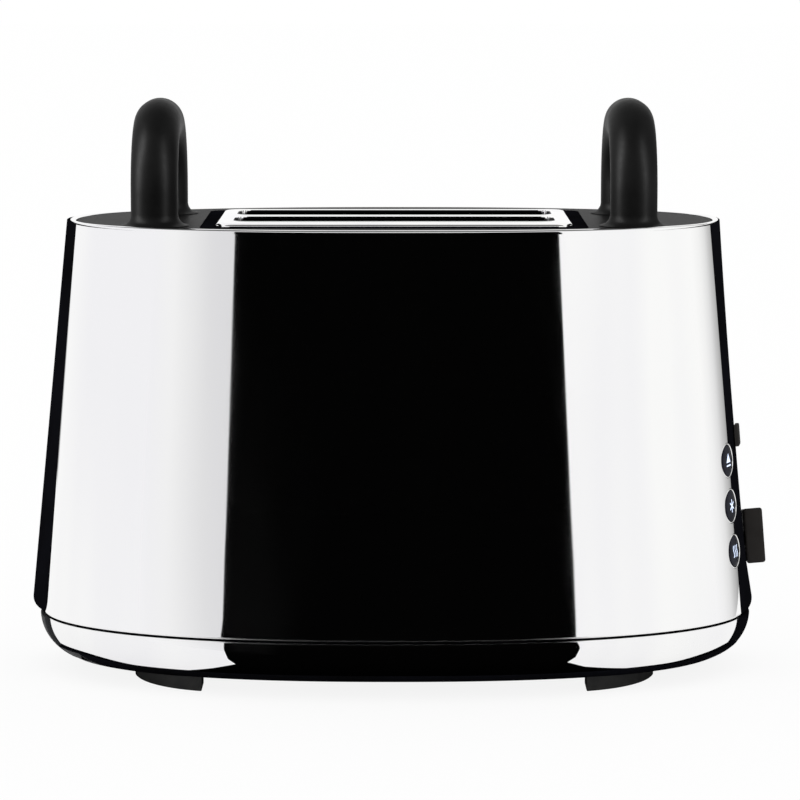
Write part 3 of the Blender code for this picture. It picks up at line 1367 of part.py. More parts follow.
finish(build_front_shell(), "front_shell", chrome)
finish(build_shell(1), "rear_shell", chrome)
finish(build_rim(), "top_rim", chrome)
finish(build_band(-1), "left_end_band", black_gloss)
finish(build_right_band(), "right_end_band", black_gloss)
finish(build_skirt(-1), "front_skirt", chrome)
finish(build_rear_skirt(), "rear_skirt", chrome)
finish(build_pan(), "base_pan", black_gloss)
finish(build_plate(), "top_plate", black_matte)
finish(build_deck(), "slot_deck", chrome)
finish(build_gland(), "cord_gland", black_matte)
for end, word in ((-1, "left"), (1, "right")):
    finish(build_trim(end), f"deck_trim_{word}", black_gloss)
    finish(build_loop(end), f"handle_{word}", black_satin)
    finish(build_chassis(end), f"chassis_plate_{word}", steel)
    for side, side_word in ((-1, "front"), (1, "rear")):
        finish(build_foot(end, side), f"foot_{side_word}_{word}", rubber)
for number, (x, y) in enumerate(screw_places(), 1):
    finish(build_screw(x, y), f"base_screw_{number}", steel)

for side, word in ((-1, "front"), (1, "rear")):
    finish(build_reflector(side), f"reflector_{word}", steel)
    finish(build_heater(side * HEATER_OFFSET), f"heater_board_{word}", mica)
    for way, way_word in ((-1, "front"), (1, "rear")):
        guard_y = side * SLOT_MIDDLE + way * GUARD_OFFSET
        finish(build_guard(guard_y), f"bread_guard_{word}_{way_word}", steel)
finish(build_heater(0), "heater_board_middle", mica)
finish(build_rod(), "guide_rod", steel)
finish(build_magnet(), "latch_magnet", copper)

carriage_origin = (ROD_X, MECHANISM_Y, BLOCK_BOTTOM)
finish(build_carriage(), "carriage", steel, carriage_origin)
finish(build_rack(-1), "bread_rack_front", steel, carriage_origin)
finish(build_rack(1), "bread_rack_rear", steel, carriage_origin)
finish(build_armature(), "latch_armature", steel, carriage_origin)
finish(build_lever(), "lever_knob", black_satin, carriage_origin)
finish(build_spring(), "return_spring", steel, (ROD_X, MECHANISM_Y, TAB_TOP_HEIGHT))

for index, word in ((1, "cancel"), (0, "defrost"), (-1, "reheat")):
    place = button_frame(index).translation
    finish(build_button(index), f"{word}_button", grey_plastic, place)
    finish(build_bezel(index), f"{word}_bezel", chrome)
    finish(build_switch(index), f"{word}_switch", black_matte)
finish(build_board(), "control_board", board_green)
finish(build_pot(), "browning_control", black_matte)
finish(build_slider(), "browning_slider", black_satin, slider_point())
finish(build_tray(), "crumb_tray", grey_plastic, (0, 0, TRAY_LOW))

print("shift", round(body_frame.location.x * 1000, 4), "mm")
print("button axis", [round(value, 5) for value in button_frame(0).to_3x3() @ Vector((0, 0, 1))])
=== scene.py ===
import math

import bmesh
import bpy
from mathutils import Matrix, Vector
from mathutils.geometry import tessellate_polygon


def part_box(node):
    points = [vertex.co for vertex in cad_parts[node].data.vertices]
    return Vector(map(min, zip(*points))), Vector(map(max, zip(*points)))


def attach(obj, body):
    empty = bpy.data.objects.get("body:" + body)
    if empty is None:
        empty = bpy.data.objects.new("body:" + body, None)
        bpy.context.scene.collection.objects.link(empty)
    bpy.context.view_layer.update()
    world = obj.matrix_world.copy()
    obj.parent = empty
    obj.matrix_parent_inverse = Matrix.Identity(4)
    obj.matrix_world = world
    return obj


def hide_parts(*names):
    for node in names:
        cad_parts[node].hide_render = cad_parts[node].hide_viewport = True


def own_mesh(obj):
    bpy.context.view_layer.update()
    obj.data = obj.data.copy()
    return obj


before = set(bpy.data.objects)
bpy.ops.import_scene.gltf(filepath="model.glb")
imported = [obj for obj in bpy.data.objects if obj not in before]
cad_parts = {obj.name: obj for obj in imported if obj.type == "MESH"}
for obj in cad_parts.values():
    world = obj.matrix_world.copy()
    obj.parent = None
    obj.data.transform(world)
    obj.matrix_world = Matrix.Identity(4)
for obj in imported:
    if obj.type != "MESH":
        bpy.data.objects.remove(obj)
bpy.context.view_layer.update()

# The body is one squared oval in plan. It draws in straight from the seam up to the rim,
# and in a quarter ellipse from the seam down to the base.
bodyForm = {
    "power": 2.31,  # 2 would be an ellipse
    "seamHeight": 0.0259,
    "wallFoot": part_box("front_shell")[0].z,
    "wallTop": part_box("front_shell")[1].z,
    "seamHalfLength": 0.1563,
    "seamHalfDepth": 0.0852,
    "lengthDraw": 0.0146,
    "depthDraw": 0.0100,
    "baseHeight": 0.0210,
    "baseDraw": 0.0230,
    "wall": 0.0012,
    "gap": 0.0003,  # between pieces that seat on each other
}
middleX = (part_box("top_rim")[0].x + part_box("top_rim")[1].x) / 2
wallHeight = bodyForm["wallTop"] - bodyForm["seamHeight"]
wallTilt = math.atan(bodyForm["lengthDraw"] / wallHeight)
gap = bodyForm["gap"]


def halfLengthAt(z):
    return bodyForm["seamHalfLength"] - (z - bodyForm["seamHeight"]) * bodyForm["lengthDraw"] / wallHeight


def halfDepthAt(z):
    return bodyForm["seamHalfDepth"] - (z - bodyForm["seamHeight"]) * bodyForm["depthDraw"] / wallHeight


def planPoint(halfLength, halfDepth, angle, z):
    across, along = math.cos(angle), math.sin(angle)
    power = 2 / bodyForm["power"]
    x = halfLength * math.copysign(abs(across) ** power, across)
    y = halfDepth * math.copysign(abs(along) ** power, along)
    return Vector((x, y, z))


def planX(halfLength, halfDepth, y):
    power = bodyForm["power"]
    return halfLength * (1 - (abs(y) / halfDepth) ** power) ** (1 / power)


def planRing(halfLength, halfDepth, z, steps):
    return [planPoint(halfLength, halfDepth, math.tau * step / steps, z) for step in range(steps)]


def baseInsetAt(z):
    drop = min(max((bodyForm["seamHeight"] - z) / bodyForm["baseHeight"], 0), 1)
    return bodyForm["baseDraw"] * (1 - math.sqrt(1 - drop * drop))


# Mesh tools

def toObject(name, bm):
    bmesh.ops.remove_doubles(bm, verts=bm.verts, dist=0.000001)
    bmesh.ops.recalc_face_normals(bm, faces=bm.faces)
    mesh = bpy.data.meshes.new(name)
    bm.to_mesh(mesh)
    bm.free()
    obj = bpy.data.objects.new(name, mesh)
    bpy.context.scene.collection.objects.link(obj)
    return obj


def addRows(bm, sections, closed=False, ring=True):
    rows = [[bm.verts.new(point) for point in section] for section in sections]
    pairs = list(zip(rows, rows[1:]))
    if closed:
        pairs.append((rows[-1], rows[0]))
    for row, following in pairs:
        for index in range(len(row) if ring else len(row) - 1):
            after = (index + 1) % len(row)
            bm.faces.new((row[index], row[after], following[after], following[index]))
    return rows


def loft(name, sections, closed=False):
    bm = bmesh.new()
    rows = addRows(bm, sections, closed)
    if not closed:
        bm.faces.new(rows[0])
        bm.faces.new(rows[-1])
    return toObject(name, bm)


def slab(name, outline, axis, low, high):
    places = {
        "X": lambda u, v, level: (level, u, v),
        "Y": lambda u, v, level: (u, level, v),
        "Z": lambda u, v, level: (u, v, level),
    }
    return loft(name, [[places[axis](u, v, level) for u, v in outline] for level in (low, high)])


def block(name, low, high):
    outline = [(low[0], low[1]), (high[0], low[1]), (high[0], high[1]), (low[0], high[1])]
    return slab(name, outline, "Z", low[2], high[2])


def roundedOutline(halfX, halfY, radius, steps=12, x=0, y=0):
    points = []
    for quarter in range(4):
        signX = (1, -1, -1, 1)[quarter]
        signY = (1, 1, -1, -1)[quarter]
        for step in range(steps + 1):
            angle = math.pi / 2 * (quarter + step / steps)
            points.append((x + signX * (halfX - radius) + radius * math.cos(angle),
                           y + signY * (halfY - radius) + radius * math.sin(angle)))
    return points


def lathe(name, profile, place, sides=64, bore=False):
    sections = []
    for side in range(sides):
        turn = Matrix.Rotation(math.tau * side / sides, 4, "Z")
        sections.append([place @ turn @ Vector((radius, 0, height)) for radius, height in profile])
    if bore:
        return loft(name, sections, closed=True)
    return loft(name, [[section[index] for section in sections] for index in range(len(profile))])


def settle(obj):
    # Turns an object's modifiers into its own plain mesh.
    graph = bpy.context.evaluated_depsgraph_get()
    mesh = bpy.data.meshes.new_from_object(obj.evaluated_get(graph))
    obj.modifiers.clear()
    obj.data = mesh
    return obj


def combine(obj, operation, *tools):
    for tool in tools:
        modifier = obj.modifiers.new("shape", "BOOLEAN")
        modifier.operation = operation
        modifier.solver = "EXACT"
        modifier.object = tool
    settle(obj)
    for tool in tools:
        bpy.data.objects.remove(tool, do_unlink=True)
    return obj


def cutFrom(obj, *tools):
    return combine(obj, "DIFFERENCE", *tools)


def joinTo(obj, *tools):
    return combine(obj, "UNION", *tools)


def softenEdges(obj, width, segments=3, angle=40):
    bevel = obj.modifiers.new("soften", "BEVEL")
    bevel.width = width
    bevel.segments = segments
    bevel.limit_method = "ANGLE"
    bevel.angle_limit = math.radians(angle)
    bevel.use_clamp_overlap = True
    return settle(obj)


def place(obj, name, material, body="housing", slot="black_satin", stands=(), sharp=38):
    # A finished piece: moved to the frame's own middle, shaded, and riding on its body.
    obj.name = name
    obj.data.name = name
    obj.data.transform(Matrix.Translation((middleX, 0, 0)))
    obj.data.materials.clear()
    obj.data.materials.append(material)
    for face in obj.data.polygons:
        face.material_index = 0
    obj.data.shade_smooth()
    obj.data.set_sharp_from_angle(angle=math.radians(sharp))
    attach(obj, body)
    if stands:
        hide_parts(*stands)
    return obj


# Geometry Nodes tools

def newTree(name, sockets):
    tree = bpy.data.node_groups.new(name, "GeometryNodeTree")
    for label, kind in sockets.items():
        tree.interface.new_socket(label, in_out="INPUT", socket_type="NodeSocket" + kind)
    tree.interface.new_socket("Geometry", in_out="OUTPUT", socket_type="NodeSocketGeometry")
    return tree, tree.nodes.new("NodeGroupInput").outputs


def addNode(tree, kind, inputs=None, **settings):
    node = tree.nodes.new(kind)
    for key, value in settings.items():
        setattr(node, key, value)
    for key, value in (inputs or {}).items():
        if isinstance(value, bpy.types.NodeSocket):
            tree.links.new(value, node.inputs[key])
        else:
            node.inputs[key].default_value = value
    return node


def calc(tree, operation, *values):
    return addNode(tree, "ShaderNodeMath", dict(enumerate(values)), operation=operation).outputs[0]


def signedPower(tree, value, power):
    size = calc(tree, "POWER", calc(tree, "ABSOLUTE", value), power)
    return calc(tree, "MULTIPLY", calc(tree, "SIGN", value), size)


def closeTree(tree, geometry, material):
    real = addNode(tree, "GeometryNodeRealizeInstances", {"Geometry": geometry})
    dressed = addNode(tree, "GeometryNodeSetMaterial", {"Geometry": real.outputs[0], "Material": material})
    addNode(tree, "NodeGroupOutput", {0: dressed.outputs[0]})


def growPiece(name, tree, values):
    obj = bpy.data.objects.new(name, bpy.data.meshes.new(name))
    bpy.context.scene.collection.objects.link(obj)
    modifier = obj.modifiers.new("form", "NODES")
    modifier.node_group = tree
    for item in tree.interface.items_tree:
        if item.item_type == "SOCKET" and item.in_out == "INPUT":
            modifier[item.identifier] = values[item.name]
    return settle(obj)


# Finishes

def newFinish(name, colour, metallic=0.0, roughness=0.4, specular=0.5, coat=0.0, coatRoughness=0.05):
    material = bpy.data.materials.new(name)
    material.use_nodes = True
    shader = material.node_tree.nodes["Principled BSDF"]
    shader.inputs["Base Color"].default_value = (*colour, 1)
    shader.inputs["Metallic"].default_value = metallic
    shader.inputs["Roughness"].default_value = roughness
    shader.inputs["Specular IOR Level"].default_value = specular
    shader.inputs["Coat Weight"].default_value = coat
    shader.inputs["Coat Roughness"].default_value = coatRoughness
    return material


def grainField(tree, scale, stretch=(1, 1, 1), detail=3, turn=(0, 0, 0)):
    spot = addNode(tree, "ShaderNodeTexCoord").outputs["Object"]
    spread = addNode(tree, "ShaderNodeMapping", {"Vector": spot, "Scale": stretch, "Rotation": turn})
    noise = addNode(tree, "ShaderNodeTexNoise", {"Vector": spread.outputs[0], "Scale": scale, "Detail": detail})
    return noise.outputs[0]


def addRoughness(material, field, low, high, start=0.3, end=0.7):
    tree = material.node_tree
    spread = addNode(tree, "ShaderNodeMapRange", {"Value": field, "From Min": start, "From Max": end,
                                                  "To Min": low, "To Max": high})
    tree.links.new(spread.outputs[0], tree.nodes["Principled BSDF"].inputs["Roughness"])


def addShades(material, field, dark, light, start=0.3, end=0.7):
    tree = material.node_tree
    ramp = addNode(tree, "ShaderNodeValToRGB", {"Fac": field})
    ramp.color_ramp.elements[0].position = start
    ramp.color_ramp.elements[0].color = (*dark, 1)
    ramp.color_ramp.elements[1].position = end
    ramp.color_ramp.elements[1].color = (*light, 1)
    tree.links.new(ramp.outputs[0], tree.nodes["Principled BSDF"].inputs["Base Color"])


def addRelief(material, field, strength, distance):
    tree = material.node_tree
    bump = addNode(tree, "ShaderNodeBump", {"Height": field, "Strength": strength, "Distance": distance})
    tree.links.new(bump.outputs[0], tree.nodes["Principled BSDF"].inputs["Normal"])


def polishedChrome(name="polishedChrome"):
    material = newFinish(name, (0.87, 0.87, 0.875), metallic=1.0)
    tree = material.node_tree
    # The base colour is the chrome's faintly cool tint, with long upright lighter and darker streaks in it: painted
    # reflection streaks.
    addShades(material, grainField(tree, 22, (1, 1, 0.03), 2), (0.875, 0.872, 0.892), (0.945, 0.945, 0.938), 0.38, 0.62)
    addRoughness(material, grainField(tree, 60, (1, 1, 0.3)), 0.022, 0.045)
    addRelief(material, grainField(tree, 26, (1, 1, 0.12), 1), 0.10, 0.0004)
    return material


def blurEdge(material, height, reach, blur):
    # Blurs what a rolled edge at this height shows.
    tree = material.node_tree
    shader = tree.nodes["Principled BSDF"]
    spot = addNode(tree, "ShaderNodeTexCoord").outputs["Object"]
    level = addNode(tree, "ShaderNodeSeparateXYZ", {0: spot}).outputs[2]
    away = calc(tree, "ABSOLUTE", calc(tree, "SUBTRACT", level, height))
    near = addNode(tree, "ShaderNodeMapRange", {"Value": away, "From Min": reach, "From Max": reach * 1.5,
                                                "To Min": blur, "To Max": 0.0})
    before = shader.inputs["Roughness"].links[0].from_socket
    tree.links.new(calc(tree, "ADD", before, near.outputs[0]), shader.inputs["Roughness"])


def paintSlotShade(material, halfLength, halfWidth, spacing, top):
    # Paints shade inside the two slots, below the height of their lips: the chrome there is darkened as painted shade
    # in the recesses.
    tree = material.node_tree
    shader = tree.nodes["Principled BSDF"]
    spot = addNode(tree, "ShaderNodeTexCoord").outputs["Object"]
    x, y, z = addNode(tree, "ShaderNodeSeparateXYZ", {0: spot}).outputs
    along = calc(tree, "LESS_THAN", calc(tree, "ABSOLUTE", calc(tree, "SUBTRACT", x, middleX)), halfLength)
    away = calc(tree, "ABSOLUTE", calc(tree, "SUBTRACT", calc(tree, "ABSOLUTE", y), spacing / 2))
    inside = calc(tree, "MULTIPLY", along, calc(tree, "LESS_THAN", away, halfWidth))
    inside = calc(tree, "MULTIPLY", inside, calc(tree, "LESS_THAN", z, top))
    before = shader.inputs["Base Color"].links[0].from_socket
    # Near-black colour of the painted slot shade, laid over the chrome inside the slots.
    mix = addNode(tree, "ShaderNodeMixRGB", {0: inside, 1: before, 2: (0.006, 0.006, 0.007, 1)})
    tree.links.new(mix.outputs[0], shader.inputs["Base Color"])


def glossBlack(name="glossBlack"):
    material = newFinish(name, (0.004, 0.004, 0.005), roughness=0.3, specular=0.0)
    tree = material.node_tree
    addShades(material, grainField(tree, 30), (0.0032, 0.0032, 0.0038), (0.0052, 0.0054, 0.0075))
    addRoughness(material, grainField(tree, 90), 0.26, 0.34)
    addRelief(material, grainField(tree, 700, detail=2), 0.04, 0.0001)
    return material


def warmBlack(name="warmBlack"):
    material = newFinish(name, (0.026, 0.024, 0.023), roughness=0.5, specular=0.01)
    tree = material.node_tree
    addShades(material, grainField(tree, 60), (0.022, 0.0205, 0.0195), (0.031, 0.029, 0.0275))
    addRoughness(material, grainField(tree, 600), 0.45, 0.58)
    addRelief(material, grainField(tree, 2200, detail=2), 0.10, 0.00005)
    return material


def satinBlack(name="satinBlack"):
    material = newFinish(name, (0.0015, 0.0015, 0.0015), roughness=0.42, specular=0.02)
    tree = material.node_tree
    addShades(material, grainField(tree, 45), (0.0011, 0.0011, 0.0011), (0.002, 0.002, 0.002))
    addRoughness(material, grainField(tree, 500), 0.38, 0.46)
    addRelief(material, grainField(tree, 2600, detail=2), 0.10, 0.00005)
    return material


def grainedPlate(name="grainedPlate"):
    material = newFinish(name, (0.010, 0.010, 0.010), roughness=0.42, specular=0.014)
    tree = material.node_tree
    field = grainField(tree, 2400, detail=2)
    addShades(material, field, (0.005, 0.005, 0.005), (0.017, 0.0165, 0.017))
    addRoughness(material, field, 0.34, 0.52)
    addRelief(material, grainField(tree, 1900, detail=3), 0.35, 0.0001)
    return material


def charcoalPlastic(name="charcoalPlastic"):
    material = newFinish(name, (0.030, 0.031, 0.033), roughness=0.45, specular=0.02)
    tree = material.node_tree
    addShades(material, grainField(tree, 60), (0.024, 0.025, 0.027), (0.036, 0.037, 0.039))
    addRoughness(material, grainField(tree, 800), 0.38, 0.52)
    addRelief(material, grainField(tree, 1600), 0.2, 0.0001)
    return material


def smokedFace(name="smokedFace"):
    material = newFinish(name, (0.018, 0.019, 0.026), roughness=0.3, specular=0.01)
    tree = material.node_tree
    addShades(material, grainField(tree, 200), (0.015, 0.016, 0.022), (0.024, 0.025, 0.033))
    addRoughness(material, grainField(tree, 600), 0.2, 0.32)
    return material


def softRubber(name="softRubber"):
    material = newFinish(name, (0.022, 0.022, 0.022), roughness=0.75, specular=0.03)
    tree = material.node_tree
    addShades(material, grainField(tree, 120), (0.026, 0.026, 0.026), (0.040, 0.040, 0.039))
    addRoughness(material, grainField(tree, 300), 0.66, 0.84)
    addRelief(material, grainField(tree, 1200), 0.35, 0.0002)
    return material


def rolledSteel(name="rolledSteel"):
    material = newFinish(name, (0.56, 0.56, 0.55), metallic=1.0, roughness=0.34)
    tree = material.node_tree
    streaks = grainField(tree, 120, (0.06, 1, 1), 4)
    addShades(material, streaks, (0.50, 0.50, 0.49), (0.62, 0.62, 0.61))
    addRoughness(material, streaks, 0.26, 0.42)
    addRelief(material, streaks, 0.12, 0.0001)
    return material


def wireSteel(name="wireSteel"):
    material = newFinish(name, (0.48, 0.47, 0.45), metallic=1.0, roughness=0.3)
    tree = material.node_tree
    addShades(material, grainField(tree, 70, (1, 1, 0.3)), (0.36, 0.33, 0.29), (0.58, 0.57, 0.56))
    addRoughness(material, grainField(tree, 400), 0.22, 0.40)
    return material


def flakedMica(name="flakedMica"):
    material = newFinish(name, (0.46, 0.38, 0.26), roughness=0.45)
    tree = material.node_tree
    spot = addNode(tree, "ShaderNodeTexCoord").outputs["Object"]
    flakes = addNode(tree, "ShaderNodeTexVoronoi", {"Vector": spot, "Scale": 260.0})
    addShades(material, flakes.outputs["Color"], (0.36, 0.29, 0.19), (0.56, 0.47, 0.34), 0.1, 0.9)
    addRoughness(material, flakes.outputs["Distance"], 0.3, 0.6, 0, 1)
    addRelief(material, flakes.outputs["Distance"], 0.2, 0.0001)
    return material


def heaterRibbon(name="heaterRibbon"):
    material = newFinish(name, (0.30, 0.28, 0.26), metallic=1.0, roughness=0.45)
    tree = material.node_tree
    addShades(material, grainField(tree, 150), (0.20, 0.18, 0.17), (0.40, 0.37, 0.35))
    addRoughness(material, grainField(tree, 500), 0.38, 0.55)
    return material


def greenBoard(name="greenBoard"):
    material = newFinish(name, (0.02, 0.13, 0.06), roughness=0.35)
    tree = material.node_tree
    spot = addNode(tree, "ShaderNodeTexCoord").outputs["Object"]
    tracks = addNode(tree, "ShaderNodeTexBrick", {"Vector": spot, "Scale": 180.0, "Mortar Size": 0.08,
                                                  "Color1": (0.02, 0.13, 0.06, 1), "Color2": (0.022, 0.14, 0.065, 1),
                                                  "Mortar": (0.05, 0.22, 0.10, 1)})
    tree.links.new(tracks.outputs["Color"], tree.nodes["Principled BSDF"].inputs["Base Color"])
    addRoughness(material, tracks.outputs["Fac"], 0.3, 0.45, 0, 1)
    return material


def woundCopper(name="woundCopper"):
    material = newFinish(name, (0.62, 0.30, 0.15), metallic=1.0, roughness=0.32)
    tree = material.node_tree
    spot = addNode(tree, "ShaderNodeTexCoord").outputs["Object"]
    turns = addNode(tree, "ShaderNodeTexWave", {"Vector": spot, "Scale": 560.0, "Distortion": 0.4},
                    bands_direction="Z")
    addShades(material, turns.outputs["Fac"], (0.40, 0.17, 0.08), (0.70, 0.36, 0.19), 0.1, 0.9)
    addRoughness(material, turns.outputs["Fac"], 0.25, 0.45, 0, 1)
    addRelief(material, turns.outputs["Fac"], 0.6, 0.0002)
    return material


def litSign(name="litSign"):
    material = newFinish(name, (0.55, 0.66, 0.82), roughness=0.5)
    tree = material.node_tree
    shader = tree.nodes["Principled BSDF"]
    shader.inputs["Emission Strength"].default_value = 0.9
    spot = addNode(tree, "ShaderNodeTexCoord").outputs["Object"]
    glow = addNode(tree, "ShaderNodeTexNoise", {"Vector": spot, "Scale": 900.0, "Detail": 1.0})
    ramp = addNode(tree, "ShaderNodeValToRGB", {"Fac": glow.outputs[0]})
    ramp.color_ramp.elements[0].color = (0.52, 0.60, 0.86, 1)
    ramp.color_ramp.elements[1].color = (0.74, 0.82, 1.0, 1)
    tree.links.new(ramp.outputs[0], shader.inputs["Emission Color"])
    return material


chrome = polishedChrome()
wallChrome = polishedChrome("wallChrome")
# Chrome of the deck, which gets painted shade inside its slots.
slotShadedChrome = polishedChrome("slotShadedChrome")
leverBlack = warmBlack()
trimBlack = glossBlack("trimBlack")
blackGloss = glossBlack()
blackSatin = satinBlack()
plateBlack = grainedPlate()
charcoal = charcoalPlastic()
buttonFace = smokedFace()
rubber = softRubber()
sheetSteel = rolledSteel()
brightWire = wireSteel()
mica = flakedMica()
ribbonMetal = heaterRibbon()
boardGreen = greenBoard()
copper = woundCopper()
signLight = litSign()
print("finishes ready")


# Studio: a white room with one black card in front, which gives the dark middle of the chrome

studio = {
    "cameraPlace": (0.000363, -1.540, 0.32137),
    "cameraTilt": math.pi / 2 - 0.1308,
    "lens": 157.3,
    "roomLevel": 1.0,  # what the white room gives as light
    "floorHalf": 12.0,
    "floorGlow": 0.88,
    # The card's edges, each as (x, y) on the floor from the far end to a place under the toaster. Where they run in
    # under and beside the body, the card is a dark sheet put in the toaster's shade on the floor: painted shadow, seen
    # only in reflections.
    "cardLeft": [(-0.960, -1.75), (-0.548, -0.967), (-0.286, -0.475), (-0.236, -0.375), (-0.115, -0.155),
                 (-0.0900, -0.1037), (-0.0795, -0.0842), (-0.0740, -0.0785), (-0.0828, -0.0700), (-0.0983, -0.0578),
                 (-0.1123, -0.0459), (-0.125, -0.020), (-0.125, 0)],
    "cardRight": [(1.040, -1.75), (0.584, -0.948), (0.303, -0.465), (0.235, -0.350), (0.117, -0.145),
                  (0.0955, -0.1030), (0.0835, -0.0842), (0.0770, -0.0785), (0.0830, -0.0700), (0.1008, -0.0571),
                  (0.1140, -0.0440), (0.125, -0.020), (0.125, 0)],
    # Grey cards. The slant one fades with x / y beside the black card, the side ones with y.
    "slantCard": {"near": 0.50, "far": 1.50, "levels": ((0, 0.80), (0.2, 0.82), (0.34, 0.88), (0.56, 0.95), (1, 1.0))},
    "rightCard": {"x": 0.30, "near": -0.01, "far": 0.40, "levels": ((0, 1.0), (0.093, 0.93), (0.19, 0.80),
                                                                  (0.285, 0.60), (0.48, 0.35), (1, 0.25))},
    "leftCard": {"x": -0.55, "near": 0.55, "far": 0.80, "levels": ((0, 1.0), (0.3, 0.35), (0.65, 0.35), (1, 1.0))},
    "cardHeight": 0.60,
    "cardTopLeft": -0.955,
    "cardTopRight": 0.960,
    "ceilingHeight": 2.6,
    "ceilingHalf": 2.4,
    "ceilingGrey": 0.16,
}


def hideFrom(obj, *rays):
    for ray in rays:
        setattr(obj, "visible_" + ray, False)


def flatCard(name, corners, material):
    bm = bmesh.new()
    bm.faces.new([bm.verts.new(corner) for corner in corners])
    mesh = bpy.data.meshes.new(name)
    bm.to_mesh(mesh)
    bm.free()
    obj = bpy.data.objects.new(name, mesh)
    bpy.context.scene.collection.objects.link(obj)
    mesh.materials.append(material)
    return obj


def shadedCard(name, pale):
    # Light that fades across a card.
    material = bpy.data.materials.new(name)
    material.use_nodes = True
    tree = material.node_tree
    tree.nodes.clear()
    spot = addNode(tree, "ShaderNodeTexCoord").outputs["Object"]
    x, y, z = addNode(tree, "ShaderNodeSeparateXYZ", {0: spot}).outputs
    across = y if "x" in pale else calc(tree, "DIVIDE", x, y)
    share = addNode(tree, "ShaderNodeMapRange", {"Value": across, "From Min": pale["near"], "From Max": pale["far"]})
    ramp = addNode(tree, "ShaderNodeValToRGB", {"Fac": share.outputs[0]})
    stops = ramp.color_ramp.elements
    while len(stops) < len(pale["levels"]):
        stops.new(0.5)
    for stop, (position, level) in zip(stops, pale["levels"]):
        stop.position = position
        stop.color = (level, level, level, 1)
    glow = addNode(tree, "ShaderNodeEmission", {"Color": ramp.outputs[0], "Strength": 1.0})
    addNode(tree, "ShaderNodeOutputMaterial", {"Surface": glow.outputs[0]})
    return material


def seenRays(tree):
    path = addNode(tree, "ShaderNodeLightPath")
    both = calc(tree, "MAXIMUM", path.outputs["Is Camera Ray"], path.outputs["Is Glossy Ray"])
    return calc(tree, "MAXIMUM", both, path.outputs["Is Transmission Ray"])


def makeStudio():
    world = bpy.data.worlds.new("whiteRoom")
    bpy.context.scene.world = world
    world.use_nodes = True
    tree = world.node_tree
    tree.nodes.clear()
    light = addNode(tree, "ShaderNodeBackground", {"Color": (1, 1, 1, 1), "Strength": studio["roomLevel"]})
    seen = addNode(tree, "ShaderNodeBackground", {"Color": (1, 1, 1, 1), "Strength": 1.0})
    mix = addNode(tree, "ShaderNodeMixShader", {0: seenRays(tree), 1: light.outputs[0], 2: seen.outputs[0]})
    addNode(tree, "ShaderNodeOutputWorld", {"Surface": mix.outputs[0]})

    floorPaint = bpy.data.materials.new("paleFloor")
    floorPaint.use_nodes = True
    tree = floorPaint.node_tree
    tree.nodes.clear()
    paint = addNode(tree, "ShaderNodeBsdfDiffuse", {"Color": (0.97, 0.97, 0.97, 1)})
    glow = addNode(tree, "ShaderNodeEmission", {"Color": (1, 1, 1, 1), "Strength": 1.0})
    share = calc(tree, "MULTIPLY", seenRays(tree), studio["floorGlow"])
    mix = addNode(tree, "ShaderNodeMixShader", {0: share, 1: paint.outputs[0], 2: glow.outputs[0]})
    addNode(tree, "ShaderNodeOutputMaterial", {"Surface": mix.outputs[0]})
    half = studio["floorHalf"]
    flatCard("floor", [(-half, -half, 0), (half, -half, 0), (half, half, 0), (-half, half, 0)], floorPaint)

    cardPaint = bpy.data.materials.new("blackCard")
    cardPaint.use_nodes = True
    tree = cardPaint.node_tree
    tree.nodes.clear()
    paint = addNode(tree, "ShaderNodeBsdfDiffuse", {"Color": (0.001, 0.001, 0.001, 1)})
    addNode(tree, "ShaderNodeOutputMaterial", {"Surface": paint.outputs[0]})
    left, right, high = studio["cardLeft"], studio["cardRight"], studio["cardHeight"]
    y = left[0][1]
    upright = flatCard("standingCard", [(left[0][0], y, 0), (right[0][0], y, 0), (studio["cardTopRight"], y, high),
                                        (studio["cardTopLeft"], y, high)], cardPaint)
    # The lying card's part under the toaster is painted shadow on the floor, seen only in reflections.
    lying = flatCard("lyingCardAndShadow", [(x, y, 0.0006) for x, y in left + right[::-1]], cardPaint)
    half, high = studio["ceilingHalf"], studio["ceilingHeight"]
    grey = bpy.data.materials.new("greyCeiling")
    grey.use_nodes = True
    tree = grey.node_tree
    tree.nodes.clear()
    shade = addNode(tree, "ShaderNodeEmission", {"Color": (1, 1, 1, 1), "Strength": studio["ceilingGrey"]})
    addNode(tree, "ShaderNodeOutputMaterial", {"Surface": shade.outputs[0]})
    ceiling = flatCard("ceiling", [(-half, -half, high), (half, -half, high), (half, half, high),
                                   (-half, half, high)], grey)
    slant = shadedCard("slantCard", studio["slantCard"])
    behind, reach = y - 0.01, y * studio["slantCard"]["far"]
    greys = [flatCard("slantUpright", [(reach, behind, 0), (left[0][0], behind, 0), (left[0][0], behind, 1),
                                       (reach, behind, 1)], slant),
             flatCard("slantLying", [(reach, behind, 0.0003), (left[0][0] / 2, behind, 0.0003), (-0.06, -0.10, 0.0003),
                                     (-0.15, -0.10, 0.0003)], slant)]
    for word in ("rightCard", "leftCard"):
        side = studio[word]
        greys.append(flatCard(word, [(side["x"], side["near"], 0), (side["x"], side["far"], 0),
                                     (side["x"], side["far"], 0.6), (side["x"], side["near"], 0.6)],
                              shadedCard(word, side)))
    for card in [upright, lying, ceiling] + greys:
        hideFrom(card, "camera", "diffuse", "shadow", "transmission")

    camera = bpy.data.objects.new("camera", bpy.data.cameras.new("camera"))
    bpy.context.scene.collection.objects.link(camera)
    camera.location = studio["cameraPlace"]
    camera.rotation_euler = (studio["cameraTilt"], 0, 0)
    camera.data.lens = studio["lens"]
    camera.data.sensor_width = 36
    camera.data.clip_start = 0.05
    bpy.context.scene.camera = camera


